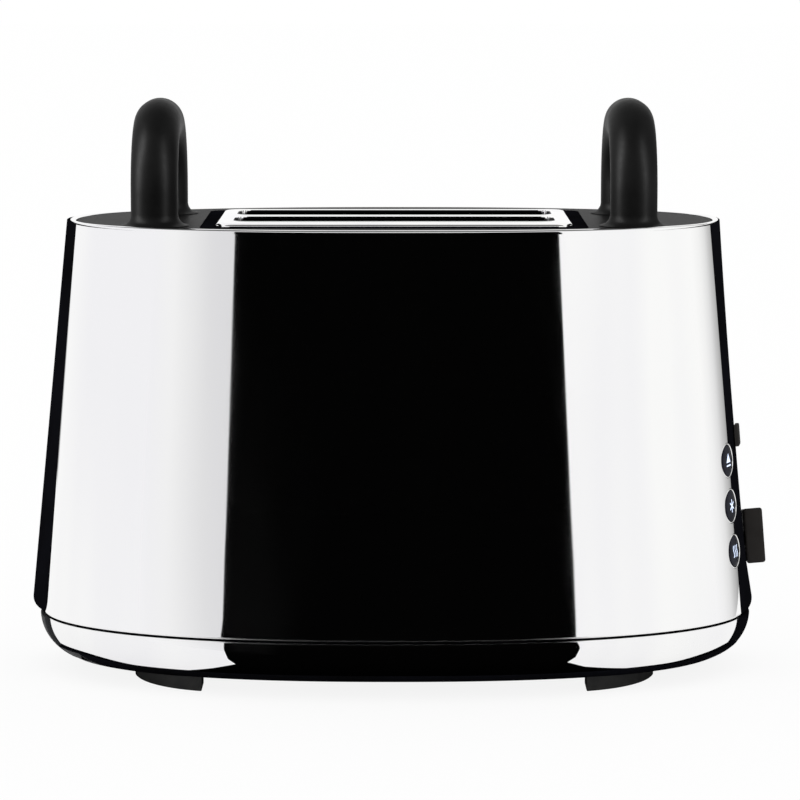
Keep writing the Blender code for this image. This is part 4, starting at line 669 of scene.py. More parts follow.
def addLamp(name, azimuth, elevation, distance, width, height, power):
    lamp = bpy.data.lights.new(name, "AREA")
    lamp.shape = "RECTANGLE"
    lamp.size = width
    lamp.size_y = height
    lamp.energy = power
    obj = bpy.data.objects.new(name, lamp)
    bpy.context.scene.collection.objects.link(obj)
    around, up = math.radians(azimuth), math.radians(elevation)
    away = Vector((math.sin(around) * math.cos(up), -math.cos(around) * math.cos(up), math.sin(up)))
    obj.location = Vector((0, 0, 0.12)) + away * distance
    obj.rotation_euler = (-away).to_track_quat("-Z", "Y").to_euler()
    obj.visible_camera = False
    return obj


makeStudio()
handleLamps = [addLamp("leftHandleLamp", -80, 24, 2.2, 0.70, 2.4, 330),
               addLamp("rightHandleLamp", 58, 24, 2.2, 0.45, 2.4, 210)]
bpy.context.scene.view_settings.view_transform = "Standard"
print("studio ready")


# Polished walls: the two half shells and the two half skirts, all on the body's own plan

wallParts = {
    "columns": 224,
    "shellRows": 40,
    "skirtRows": 22,
    # Half the space between the shells at the left and right end, at the foot and the head
    "shellEdges": ((0.0172, 0.0208), (0.0222, 0.0236)),
    "skirtEdge": 0.0250,
    "skirtWall": 0.0015,
    "lipRound": 0.00035,
    "dip": 0.0026,
    "dipEnds": (0.1400, 0.1480),
    "dipReach": 0.0280,
}


def bandEdgeAt(z, end):
    # Half the width of a band at a height.
    foot, head = wallParts["shellEdges"][0 if end < 0 else 1]
    return foot + (head - foot) * (z - bodyForm["wallFoot"]) / (bodyForm["wallTop"] - bodyForm["wallFoot"])


def wallTree():
    tree, given = newTree("polishedWall", {
        "Columns": "Int", "Rows": "Int", "Bottom": "Float", "Top": "Float", "Right Foot": "Float",
        "Right Head": "Float", "Left Foot": "Float", "Left Head": "Float", "Side": "Float",
        "Power": "Float", "Seam Height": "Float", "Seam Half Length": "Float", "Seam Half Depth": "Float",
        "Length Slope": "Float", "Depth Slope": "Float", "Base Height": "Float", "Base Draw": "Float",
        "Finish": "Material"})
    grid = addNode(tree, "GeometryNodeMeshGrid", {"Size X": 1.0, "Size Y": 1.0, "Vertices X": given["Columns"],
                                                  "Vertices Y": given["Rows"]})
    spot = addNode(tree, "ShaderNodeSeparateXYZ", {0: addNode(tree, "GeometryNodeInputPosition").outputs[0]})
    # The rows and columns lie closer together towards the edges of the sheet.
    across = calc(tree, "MULTIPLY_ADD", calc(tree, "SINE", calc(tree, "MULTIPLY", spot.outputs[0], math.pi)), 0.5, 0.5)
    up = calc(tree, "MULTIPLY_ADD", calc(tree, "SINE", calc(tree, "MULTIPLY", spot.outputs[1], math.pi)), 0.5, 0.5)
    z = calc(tree, "MULTIPLY_ADD", calc(tree, "SUBTRACT", given["Top"], given["Bottom"]), up, given["Bottom"])
    overSeam = calc(tree, "SUBTRACT", z, given["Seam Height"])
    rise = calc(tree, "MAXIMUM", overSeam, 0.0)
    drop = calc(tree, "DIVIDE", calc(tree, "MAXIMUM", calc(tree, "MULTIPLY", overSeam, -1.0), 0.0),
                given["Base Height"])
    arch = calc(tree, "SQRT", calc(tree, "SUBTRACT", 1.0, calc(tree, "MULTIPLY", drop, drop)))
    draw = calc(tree, "MULTIPLY", given["Base Draw"], calc(tree, "SUBTRACT", 1.0, arch))
    halves = []
    for seam, slope in (("Seam Half Length", "Length Slope"), ("Seam Half Depth", "Depth Slope")):
        tapered = calc(tree, "SUBTRACT", given[seam], calc(tree, "MULTIPLY", rise, given[slope]))
        halves.append(calc(tree, "SUBTRACT", tapered, draw))
    starts = []
    for word in ("Right", "Left"):
        climb = calc(tree, "SUBTRACT", given[word + " Head"], given[word + " Foot"])
        edge = calc(tree, "MULTIPLY_ADD", climb, up, given[word + " Foot"])
        reach = calc(tree, "POWER", calc(tree, "DIVIDE", edge, halves[1]), calc(tree, "DIVIDE", given["Power"], 2.0))
        starts.append(calc(tree, "ARCSINE", reach))
    span = calc(tree, "SUBTRACT", calc(tree, "SUBTRACT", math.pi, starts[1]), starts[0])
    angle = calc(tree, "MULTIPLY_ADD", span, across, starts[0])
    bend = calc(tree, "DIVIDE", 2.0, given["Power"])
    x = calc(tree, "MULTIPLY", halves[0], signedPower(tree, calc(tree, "COSINE", angle), bend))
    y = calc(tree, "MULTIPLY", halves[1], signedPower(tree, calc(tree, "SINE", angle), bend))
    turned = addNode(tree, "ShaderNodeCombineXYZ", {0: x, 1: calc(tree, "MULTIPLY", y, given["Side"]), 2: z})
    bent = addNode(tree, "GeometryNodeSetPosition", {"Geometry": grid.outputs[0], "Position": turned.outputs[0]})
    closeTree(tree, bent.outputs[0], given["Finish"])
    return tree


def dipEdge(point, share):
    # Moves a point of the base down its curve: away from the ends the skirts reach lower than at them.
    away = min(max((wallParts["dipEnds"][point.x > 0] - abs(point.x)) / wallParts["dipReach"], 0), 1)
    down = wallParts["dip"] * share * away * away * (3 - 2 * away)
    before, after = baseInsetAt(point.z), baseInsetAt(point.z - down)
    point.x *= (bodyForm["seamHalfLength"] - after) / (bodyForm["seamHalfLength"] - before)
    point.y *= (bodyForm["seamHalfDepth"] - after) / (bodyForm["seamHalfDepth"] - before)
    point.z -= down


def growWall(name, tree, side, rows, bottom, top, edges, thickness, dips=False):
    (leftFoot, leftHead), (rightFoot, rightHead) = edges
    wall = growPiece(name, tree, {
        "Columns": wallParts["columns"], "Rows": rows, "Bottom": bottom, "Top": top, "Right Foot": rightFoot + gap,
        "Right Head": rightHead + gap, "Left Foot": leftFoot + gap, "Left Head": leftHead + gap,
        "Side": float(side), "Power": bodyForm["power"], "Seam Height": bodyForm["seamHeight"],
        "Seam Half Length": bodyForm["seamHalfLength"], "Seam Half Depth": bodyForm["seamHalfDepth"],
        "Length Slope": bodyForm["lengthDraw"] / wallHeight, "Depth Slope": bodyForm["depthDraw"] / wallHeight,
        "Base Height": bodyForm["baseHeight"], "Base Draw": bodyForm["baseDraw"], "Finish": wallChrome})
    if dips:
        for corner in wall.data.vertices:
            dipEdge(corner.co, (top - corner.co.z) / (top - bottom))
    middle = wall.data.polygons[len(wall.data.polygons) // 2]
    if middle.normal.y * side < 0:
        wall.data.flip_normals()
    sheet = wall.modifiers.new("sheet", "SOLIDIFY")
    sheet.thickness = thickness
    sheet.offset = -1
    sheet.use_even_offset = True
    settle(wall)
    return softenEdges(wall, wallParts["lipRound"], 2, 60)


controls = {
    "buttonY": 0.0249,
    "buttonHeight": 0.0752,  # the middle one
    "buttonPitch": 0.0202,
    "bezelRadius": 0.00765,
    "bezelWall": 0.0006,
    "frontDrop": 0.00094,
    "rearDrop": 0.0007,
    "bezelProud": 0.00012,
    "bezelDepth": 0.0044,
    "signs": ("reheat", "defrost", "cancel"),  # from the lowest up
}


def buttonYaw():
    # The way the wall faces at the buttons.
    z, reach = controls["buttonHeight"], controls["bezelRadius"]
    inner = planX(halfLengthAt(z), halfDepthAt(z), controls["buttonY"] - reach)
    outer = planX(halfLengthAt(z), halfDepthAt(z), controls["buttonY"] + reach)
    return math.atan((inner - outer) / (2 * reach))


def buttonPlace(index):
    # Local Z points out of the body along the button's own axis.
    z = controls["buttonHeight"] + index * controls["buttonPitch"] * math.cos(wallTilt)
    x = planX(halfLengthAt(z), halfDepthAt(z), controls["buttonY"])
    turn = Matrix.Rotation(-buttonYaw(), 4, "Z") @ Matrix.Rotation(math.pi / 2 - wallTilt, 4, "Y")
    return Matrix.Translation((x, -controls["buttonY"], z)) @ turn


def buttonHoles(depth):
    radius = controls["bezelRadius"] + gap / 2
    profile = [(radius, -depth), (radius, 0.004)]
    return [lathe("hole", profile, buttonPlace(index)) for index in (-1, 0, 1)]


gland = {"x": 0.0620, "height": 0.0190, "radius": 0.0055, "bore": 0.0034, "proud": 0.0012, "depth": 0.0090}


def glandPlace():
    inset = baseInsetAt(gland["height"])
    halfLength = bodyForm["seamHalfLength"] - inset
    halfDepth = bodyForm["seamHalfDepth"] - inset
    power = bodyForm["power"]
    y = halfDepth * (1 - (gland["x"] / halfLength) ** power) ** (1 / power)
    return Matrix.Translation((gland["x"], y, gland["height"])) @ Matrix.Rotation(-math.pi / 2, 4, "X")


def glandHole():
    radius = gland["radius"] + gap
    return lathe("hole", [(radius, -gland["depth"] - 0.004), (radius, 0.004)], glandPlace())


def makeWalls():
    blurEdge(wallChrome, bodyForm["wallFoot"], 0.0005, 0.20)
    blurEdge(wallChrome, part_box("front_skirt")[1].z, 0.0004, 0.12)
    tree = wallTree()
    low, high = (corner.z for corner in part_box("front_shell"))
    for side, word in ((-1, "front"), (1, "rear")):
        shell = growWall(word + "Shell", tree, side, wallParts["shellRows"], low, high, wallParts["shellEdges"],
                         bodyForm["wall"])
        if side < 0:
            cutFrom(shell, *buttonHoles(0.004))
        place(shell, word + "Shell", wallChrome, slot="chrome", stands=[word + "_shell"])
    low, high = (corner.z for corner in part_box("front_skirt"))
    for side, word in ((-1, "front"), (1, "rear")):
        edge = wallParts["skirtEdge"] - gap
        skirt = growWall(word + "Skirt", tree, side, wallParts["skirtRows"], low, high, ((edge, edge), (edge, edge)),
                         wallParts["skirtWall"], dips=True)
        if side > 0:
            cutFrom(skirt, glandHole())
        place(skirt, word + "Skirt", wallChrome, slot="chrome", stands=[word + "_skirt"])
    print("walls ready")


makeWalls()


# Top: bright rim, black plate and the raised deck with its two slots

top = {
    "steps": 256,
    "rimReach": 0.0027,  # past the shell at the ends
    "rimFrontReach": 0.0007,
    "rimWidth": 0.0043,
    "rimRound": 0.0009,
    "rimEndReach": 0.0008,
    "rimSkirt": 0.0006,  # how far its front and back hang over the shells
    "rearDrop": 0.0011,
    "endLift": 0.55,  # share of its thickness by which the rim is clear of the bands
    "plateRound": 0.0005,
}
deck = {
    "halfLength": 0.0770,
    "halfDepth": 0.0430,
    "corner": 0.0080,
    "flankX": 0.0020,
    "flankY": 0.0045,
    "sheet": 0.0008,
    "slotLength": 0.1395,
    "slotWidth": 0.0270,
    "slotSpacing": 0.0370,
    "slotCorner": 0.00702,
    "lipWidth": 0.0016,
    "lipRise": 0.00015,
    "packedRise": 0.0005,
    "lipDepth": 0.0050,
    "frameReach": 0.0834,
    "frameHalfDepth": 0.0503,
    "frameHeight": 0.00015,
    "trimReach": 0.0830,
    "trimHalfDepth": 0.0433,
}
rimHalfLength = bodyForm["seamHalfLength"] - bodyForm["lengthDraw"]
rimHalfDepth = bodyForm["seamHalfDepth"] - bodyForm["depthDraw"]


def makeRim():
    low, high = (corner.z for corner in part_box("top_rim"))
    radius, width = top["rimRound"], top["rimWidth"]
    profile = [(0.0004, low), (0.0004, low), (0, low), (0, low + 0.0001)]
    for step in range(9):
        angle = math.pi / 2 * step / 8
        profile.append((1.6 * radius * (1 - math.cos(angle)), high - radius + radius * math.sin(angle)))
    profile.append((1.6 * radius + 0.0004, high))
    profile.append((width - radius - 0.0004, high - 0.0001))
    for step in range(7):
        angle = math.pi / 2 * step / 6
        profile.append((width - radius + radius * math.sin(angle), high - 0.0001 - radius + radius * math.cos(angle)))
    profile.append((width, low))
    endShare = (width - top["rimReach"] + top["rimEndReach"]) / width
    sections = []
    for step in range(top["steps"]):
        angle = math.tau * step / top["steps"]
        drop = top["rearDrop"] * ((1 + math.sin(angle)) / 2) ** 0.65 / (high - low)
        edge = abs(planPoint(rimHalfLength, rimHalfDepth, angle, 0).y)
        lift = top["endLift"] * min(max((0.055 - edge) / 0.037, 0), 1)
        section = []
        for index, (inset, z) in enumerate(profile):
            z -= drop * (z - low)
            if inset < width / 2:
                z = max(z, low + lift * (high - low) + 0.00001 * index)
            if index in (1, 2):
                z -= 0.00002 + top["rimSkirt"] * abs(math.sin(angle))
            section.append(planPoint(rimHalfLength + top["rimEndReach"] - inset * endShare,
                                     rimHalfDepth + top["rimFrontReach"] - inset, angle, z))
        sections.append(section)
    place(loft("rim", sections, closed=True), "topRim", chrome, slot="chrome", stands=["top_rim"])


def fillBetween(bm, outer, holes, z, upward=True):
    # Triangles over a flat sheet between one outline and the holes in it.
    loops = [[Vector((x, y, z)) for x, y in loop] for loop in [outer] + holes]
    verts = [bm.verts.new(point) for loop in loops for point in loop]
    for corners in tessellate_polygon(loops):
        bm.faces.new([verts[index] for index in corners])


def flatten(ring):
    return [(point.x, point.y) for point in ring]


def makePlate():
    low, high = (corner.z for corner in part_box("top_plate"))
    length = rimHalfLength + top["rimReach"] - top["rimWidth"] - gap
    depth = rimHalfDepth + top["rimFrontReach"] - top["rimWidth"] - gap
    radius = top["plateRound"]
    outside = [(0, low)]
    for step in range(5):
        angle = math.pi / 2 * step / 4
        outside.append((radius * (1 - math.cos(angle)), high - radius + radius * math.sin(angle)))
    outside.append((radius + 0.0005, high))
    bm = bmesh.new()
    addRows(bm, [planRing(length - inset, depth - inset, z, top["steps"]) for inset, z in outside])
    reach, half = deck["trimReach"], deck["trimHalfDepth"]
    hole = roundedOutline(reach, half, 0.005, 14)
    inner = [[(x, y, low) for x, y in hole], [(x, y, high - 0.0002) for x, y in hole]]
    edge = roundedOutline(reach + 0.0002, half + 0.0002, 0.0052, 14)
    inner.append([(x, y, high) for x, y in edge])
    addRows(bm, inner)
    fillBetween(bm, flatten(planRing(length - radius - 0.0005, depth - radius - 0.0005, high, top["steps"])),
                [edge], high)
    fillBetween(bm, flatten(planRing(length, depth, low, top["steps"])), [hole], low)
    place(toObject("plate", bm), "topPlate", plateBlack, slot="black_matte", stands=["top_plate"])


def makeDeck():
    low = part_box("slot_deck")[0].z
    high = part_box("slot_deck")[1].z - deck["packedRise"]
    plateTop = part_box("top_plate")[1].z
    foot = plateTop + 0.0004
    halfX, halfY, corner = deck["halfLength"], deck["halfDepth"], deck["corner"]
    rings = [(0, low), (0, foot - 0.0001), (0.01, foot + 0.0001)]
    for step in range(1, 9):
        share = step / 8
        rings.append((share, foot + (high - foot) * math.sin(share * math.pi / 2) ** 0.8))
    bm = bmesh.new()
    sections = []
    for share, z in rings:
        x, y = halfX - deck["flankX"] * share, halfY - deck["flankY"] * share
        sections.append([(u, v, z) for u, v in roundedOutline(x, y, corner - 0.0015 * share)])
    topX, topY = halfX - deck["flankX"] - 0.0002, halfY - deck["flankY"] - 0.0002
    edge = roundedOutline(topX, topY, corner - 0.0017)
    sections.append([(x, y, high) for x, y in edge])
    addRows(bm, sections)
    slotX, slotY = deck["slotLength"] / 2, deck["slotWidth"] / 2
    lip = [(deck["lipWidth"] + 0.0002, 0), (deck["lipWidth"], 0.00002)]
    for step in range(1, 10):
        angle = math.pi * step / 10
        lip.append((deck["lipWidth"] / 2 * (1 + math.cos(angle)), deck["lipRise"] * math.sin(angle) ** 0.8))
    lip += [(0, -0.0003), (0, -deck["lipDepth"])]
    holes = []
    for side in (-1, 1):
        y = side * deck["slotSpacing"] / 2
        rows = []
        for away, rise in lip:
            outline = roundedOutline(slotX + away, slotY + away, deck["slotCorner"] + away, 12, 0, y)
            rows.append([(u, v, high + rise) for u, v in outline])
        addRows(bm, rows)
        holes.append(flatten([Vector(point) for point in rows[0]]))
    fillBetween(bm, edge, holes, high)
    obj = toObject("deck", bm)
    if max(obj.data.polygons, key=lambda face: face.area).normal.z < 0:
        obj.data.flip_normals()
    sheet = obj.modifiers.new("sheet", "SOLIDIFY")
    sheet.thickness = deck["sheet"]
    sheet.offset = -1
    settle(obj)
    # Painted shade: the chrome inside the slots is darkened.
    paintSlotShade(slotShadedChrome, slotX - 0.0034, slotY + 0.0002, deck["slotSpacing"], high - 0.0002)
    place(obj, "slotDeck", slotShadedChrome, slot="chrome", stands=["slot_deck"], sharp=50)


makeRim()
makePlate()
makeDeck()
print("top ready")


# Loop handles: a round bar bent into an arch, with flared feet on the plate

handles = {
    "distance": 0.1033,  # from the middle of the body
    "halfSpan": 0.0354,
    "radius": 0.0102,
    "corner": 0.0290,
    "flare": 0.0046,
    "crownLift": 0.0006,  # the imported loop's facets lie inside its round
    "sides": 56,
    "stepLength": 0.0006,
}


def handleTree():
    tree, given = newTree("archedHandle", {
        "Half Span": "Float", "Foot": "Float", "Crown": "Float", "Corner": "Float", "Radius": "Float",
        "Flare": "Float", "Sides": "Int", "Step Length": "Float", "Distance": "Float", "Finish": "Material"})
    corners = addNode(tree, "GeometryNodeMeshLine", {"Count": 4})
    index = addNode(tree, "GeometryNodeInputIndex").outputs[0]
    rear = calc(tree, "GREATER_THAN", index, 1.5)
    y = calc(tree, "MULTIPLY", given["Half Span"], calc(tree, "MULTIPLY_ADD", rear, 2.0, -1.0))
    inner = calc(tree, "COMPARE", index, 1.5, 0.6)
    z = calc(tree, "MULTIPLY_ADD", calc(tree, "SUBTRACT", given["Crown"], given["Foot"]), inner, given["Foot"])
    spot = addNode(tree, "ShaderNodeCombineXYZ", {0: given["Distance"], 1: y, 2: z})
    bent = addNode(tree, "GeometryNodeSetPosition", {"Geometry": corners.outputs[0], "Position": spot.outputs[0]})
    line = addNode(tree, "GeometryNodeMeshToCurve", {"Mesh": bent.outputs[0]})
    arch = addNode(tree, "GeometryNodeFilletCurve", {"Curve": line.outputs[0], "Count": 40,
                                                     "Radius": given["Corner"]}, mode="POLY")
    fine = addNode(tree, "GeometryNodeResampleCurve", {"Curve": arch.outputs[0], "Length": given["Step Length"]},
                   mode="LENGTH")
    height = addNode(tree, "ShaderNodeSeparateXYZ",
                     {0: addNode(tree, "GeometryNodeInputPosition").outputs[0]}).outputs[2]
    share = calc(tree, "DIVIDE", calc(tree, "SUBTRACT", height, given["Foot"]), given["Flare"])
    lack = calc(tree, "SUBTRACT", 1.0, calc(tree, "MINIMUM", share, 1.0))
    arc = calc(tree, "SQRT", calc(tree, "SUBTRACT", 1.0, calc(tree, "MULTIPLY", lack, lack)))
    extra = calc(tree, "MULTIPLY", given["Flare"], calc(tree, "SUBTRACT", 1.0, arc))
    size = calc(tree, "ADD", given["Radius"], extra)
    ring = addNode(tree, "GeometryNodeCurvePrimitiveCircle", {"Resolution": given["Sides"], "Radius": 1.0})
    bar = addNode(tree, "GeometryNodeCurveToMesh", {"Curve": fine.outputs[0], "Profile Curve": ring.outputs[0],
                                                    "Scale": size, "Fill Caps": True})
    closeTree(tree, bar.outputs[0], given["Finish"])
    return tree


def makeHandles():
    tree = handleTree()
    made = []
    for end, word in ((-1, "left"), (1, "right")):
        low, high = (corner.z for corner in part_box("handle_" + word))
        bar = growPiece("handle", tree, {
            "Half Span": handles["halfSpan"], "Foot": low, "Crown": high - handles["radius"] + handles["crownLift"],
            "Corner": handles["corner"], "Radius": handles["radius"], "Flare": handles["flare"],
            "Sides": handles["sides"], "Step Length": handles["stepLength"], "Distance": end * handles["distance"],
            "Finish": blackSatin})
        bm = bmesh.new()
        bm.from_mesh(bar.data)
        bar.data.clear_geometry()
        bpy.data.objects.remove(bar)
        place(toObject("handle", bm), word + "Handle", blackSatin, slot="black_satin", stands=["handle_" + word],
              sharp=70)
        made.append(bpy.data.objects[word + "Handle"])
    linked = bpy.data.collections.new("handlesOnly")
    for handle in made:
        linked.objects.link(handle)
    for lamp in handleLamps:
        lamp.light_linking.receiver_collection = linked
    print("handles ready")


makeHandles()


# End bands: the black strips down both ends, standing proud of the shells

bands = {
    # How far the middle of the left and right band stands proud, at the foot and the head
    "proud": ((0.0056, 0.0026), (0.0029, 0.0017)),
    "bow": 0.0009,  # of the right band, inwards
    "crown": 2.2,  # the power of the curve across a band
    "footShare": 0.25,
    "depth": 0.0030,
    "topDepth": 0.0013,
    "lowerRound": 0.0050,
    "edgeRound": 0.0005,
    "footBulge": 0.0011,
    "topRise": 0.0009,  # past the shells, outside the rim
    "flangeHalfWidth": 0.0440,
    "flangeThickness": 0.0022,
    "flangeMargin": 0.0045,
}
bandLow, bandHigh = bodyForm["wallFoot"], bodyForm["wallTop"]
lift = {"y": 0.0055, "rodX": 0.0950, "armHalfWidth": 0.0016, "armSideGap": 0.0009, "armBottom": 0.0530,
        "armTop": 0.0590, "travel": 0.0500}
slider = {"y": 0.0105, "height": 0.1046, "travel": 0.0160, "halfLength": 0.0048, "halfWidth": 0.0035,
          "proud": 0.0022, "lift": 0.0005, "round": 0.0006, "stem": 0.0012, "slotGap": 0.0006}


def bandProudAt(z, end):
    down = (bandHigh - z) / wallHeight
    foot, head = bands["proud"][0 if end < 0 else 1]
    bow = bands["bow"] * 4 * down * (1 - down) if end > 0 else 0
    bulge = bands["footBulge"] * min(max((0.050 - z) / 0.018, 0), 1) if end > 0 else 0
    return head + (foot - head) * down - bow + bulge


def bandFaceX(z, y):
    crown = 1 - abs(y / bandEdgeAt(z, 1)) ** bands["crown"]
    return planX(halfLengthAt(z), halfDepthAt(z), y) + bandProudAt(z, 1) * crown


def endStrip(end, edgeAt, levels, steps):
    # A strip round one end. A fourth value in a level is how far its middle stands proud there.
    sections = []
    for step in range(steps + 1):
        across = math.sin(math.pi / 2 * (2 * step / steps - 1))
        section = []
        for halfLength, halfDepth, z, *proud in levels:
            y = across * edgeAt(z)
            x = planX(halfLength, halfDepth, y)
            if proud:
                x += proud[0] * (1 - abs(across) ** bands["crown"])
            section.append(Vector((end * x, y, z)))
        sections.append(section)
    return loft("strip", sections)


def bandLevels(end):
    radius = bands["lowerRound"]
    levels = []
    for step in range(13):
        angle = math.pi / 2 * step / 12
        z = bandLow + radius * (1 - math.cos(angle))
        share = bands["footShare"] + (1 - bands["footShare"]) * math.sin(angle)
        levels.append((halfLengthAt(z), halfDepthAt(z), z, bandProudAt(z, end) * share))
    rows, crest = 22, bandHigh + bands["topRise"]
    for row in range(1, rows + 1):
        z = bandLow + radius + (crest - bandLow - radius) * row / rows
        levels.append((halfLengthAt(z), halfDepthAt(z), z, bandProudAt(z, end)))
    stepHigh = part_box("top_plate")[0].z - 2 * gap
    for z, depth in ((crest, 0.0002), (bandHigh, bands["topDepth"]), (stepHigh, bands["topDepth"]),
                     (stepHigh - bands["topDepth"], bands["depth"]), (bandLow, bands["depth"])):
        levels.append((halfLengthAt(z) - depth, halfDepthAt(z) - depth, z, 0))
    return levels


def sliderPlace():
    spot = Vector((bandFaceX(slider["height"], slider["y"]), -slider["y"], slider["height"]))
    return Matrix.Translation(spot) @ Matrix.Rotation(-wallTilt, 4, "Y")


board = {"depth": 0.0130, "thickness": 0.0016, "low": 0.0320, "high": 0.0568, "left": 0.0130, "right": 0.0190,
         "postRadius": 0.0022, "postInset": 0.0032}


def postStop(spot):
    # Where a post's axis lies half way into the flange or the band.
    inset = bodyForm["wall"] + 2 * gap + bands["flangeThickness"] / 2
    near, far = -board["depth"], 0
    for step in range(24):
        middle = (near + far) / 2
        x, y, z = spot @ Vector((0, 0, middle))
        if x < planX(halfLengthAt(z) - inset, halfDepthAt(z) - inset, y):
            near = middle
        else:
            far = middle
    return near


def boardPosts():
    posts = []
    for across in (-board["left"] + board["postInset"], board["right"] - board["postInset"]):
        for up in (board["low"] - board["postInset"], -board["high"] + board["postInset"]):
            spot = buttonPlace(0) @ Matrix.Translation((up, across, 0))
            posts.append(lathe("post", [(board["postRadius"], gap - board["depth"]), (board["postRadius"], postStop(spot))],
                               spot, 24))
    return posts


def makeBands():
    for end, word in ((-1, "left"), (1, "right")):
        band = endStrip(end, lambda z: bandEdgeAt(z, end), bandLevels(end), 34)
        softenEdges(band, bands["edgeRound"], 3, 60)
        outer = bodyForm["wall"] + 2 * gap
        low, high = bandLow + bands["flangeMargin"], bandHigh - bands["flangeMargin"]
        levels = [(halfLengthAt(z) - inset, halfDepthAt(z) - inset, z)
                  for inset, z in ((outer, low), (outer, high), (outer + bands["flangeThickness"], high),
                                   (outer + bands["flangeThickness"], low))]
        joinTo(band, endStrip(end, lambda z: bands["flangeHalfWidth"], levels, 30))
        if end > 0:
            half = lift["armHalfWidth"] + lift["armSideGap"]
            slot = block("slot", (lift["rodX"], lift["y"] - half, lift["armBottom"] - 0.004),
                         (0.165, lift["y"] + half, lift["armTop"] + lift["travel"] + 0.004))
            reach = slider["travel"] + slider["stem"] + slider["slotGap"]
            half = slider["stem"] + slider["slotGap"]
            way = block("slot", (-board["depth"], -half, -reach), (0.008, half, reach))
            way.data.transform(sliderPlace())
            cutFrom(band, slot, way, *buttonHoles(0.008))
            joinTo(band, *boardPosts())
        place(band, word + "Band", blackGloss, slot="black_gloss", stands=[word + "_end_band"], sharp=50)
    print("bands ready")


makeBands()


# Base: the black pan under the skirts, its feet, and the crumb tray that slides in at the left end

base = {
    "steps": 168,
    "endProud": 0.0015,
    "rightShift": 0.0009,  # the right end stands further out
    "wall": 0.0022,
    "floor": 0.0020,
    "collarInset": 0.0050,
    "collarHeight": 0.0045,
    "edgeRound": 0.0003,
    "ventLength": 0.0420,
    "ventWidth": 0.0030,
    "ventPitch": 0.0160,
    "ventRows": 3,
    "ventMiddle": 0.0300,
    "runnerWidth": 0.0015,
    "runnerHeight": 0.0050,
    "bossRadius": 0.0052,
    "bossHeight": 0.0020,
}
tray = {"halfWidth": 0.0397, "backX": 0.0740, "sheet": 0.0009, "frontWall": 0.0022, "sideGap": 0.0006,
        "wayEnd": 0.1170}
screws = {"x": 0.0739, "y": 0.0465, "headRadius": 0.0034, "headHeight": 0.0014, "radius": 0.0014, "recess": 0.0003}
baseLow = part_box("base_pan")[0].z
floorTop = baseLow + base["floor"]
skirtLow, skirtHigh = (corner.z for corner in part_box("front_skirt"))
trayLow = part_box("crumb_tray")[0].z
trayHigh = trayLow + 0.0050


def baseRing(inset, z, steps=base["steps"]):
    return planRing(bodyForm["seamHalfLength"] + base["endProud"] - inset, bodyForm["seamHalfDepth"] - inset, z, steps)


def skirtRing(inset, z):
    return planRing(bodyForm["seamHalfLength"] - inset, bodyForm["seamHalfDepth"] - inset, z, base["steps"])


def baseHeights(low, high, rows=14):
    # Heights that divide the curve of the base evenly, from low to high.
    def angleOf(z):
        return math.asin(min(max((bodyForm["seamHeight"] - z) / bodyForm["baseHeight"], 0), 1))
    start, stop = angleOf(low), angleOf(high)
    return [bodyForm["seamHeight"] - bodyForm["baseHeight"] * math.sin(start + (stop - start) * row / rows)
            for row in range(rows + 1)]


def screwPlaces():
    return [(end * screws["x"], side * screws["y"]) for end in (-1, 1) for side in (-1, 1)]


def upright(x, y):
    return Matrix.Translation((x, y, 0))


def panRibs():
    opening = tray["halfWidth"] + tray["sideGap"]
    width, low, high = base["runnerWidth"], floorTop - base["floor"] / 2, floorTop + base["runnerHeight"]
    ribs = []
    for side in (-1, 1):
        near, far = sorted((side * opening, side * (opening + width)))
        ribs.append(block("runner", (-tray["wayEnd"], near, low), (tray["backX"] + width, far, high)))
    stop = tray["backX"] + gap
    ribs.append(block("stop", (stop, -opening - width / 2, low), (stop + width, opening + width / 2, high - gap)))
    for x, y in screwPlaces():
        radius = base["bossRadius"]
        ribs.append(lathe("boss", [(radius, low), (radius, floorTop + base["bossHeight"])], upright(x, y), 40))
    return ribs


def panOpenings():
    past = -bodyForm["seamHalfLength"] - 0.006
    way = tray["halfWidth"] + tray["sideGap"] - gap / 2
    tools = [block("way", (past, -way, floorTop - gap), (-tray["wayEnd"] - base["runnerWidth"], way, trayHigh + gap))]
    half = wallParts["skirtEdge"] - gap
    tools.append(block("grip", (past, -half, trayHigh - base["runnerWidth"]),
                       (-tray["wayEnd"], half, bodyForm["seamHeight"] + base["collarHeight"] + 0.004)))
    for row in range(base["ventRows"]):
        y = (row - (base["ventRows"] - 1) / 2) * base["ventPitch"]
        for side in (-1, 1):
            outline = roundedOutline(base["ventLength"] / 2, base["ventWidth"] / 2, base["ventWidth"] * 0.49, 6,
                                     side * base["ventMiddle"], y)
            tools.append(slab("vent", outline, "Z", baseLow - 0.004, floorTop + gap))
    for x, y in screwPlaces():
        head, shank = screws["headRadius"] + gap, screws["radius"] + gap
        recess = baseLow + screws["recess"] + screws["headHeight"] + gap
        tools.append(lathe("recess", [(head, baseLow - 0.004), (head, recess)], upright(x, y), 40))
        tools.append(lathe("bore", [(shank, baseLow), (shank, floorTop + 0.004)], upright(x, y), 20))
    tools.append(glandHole())
    return tools


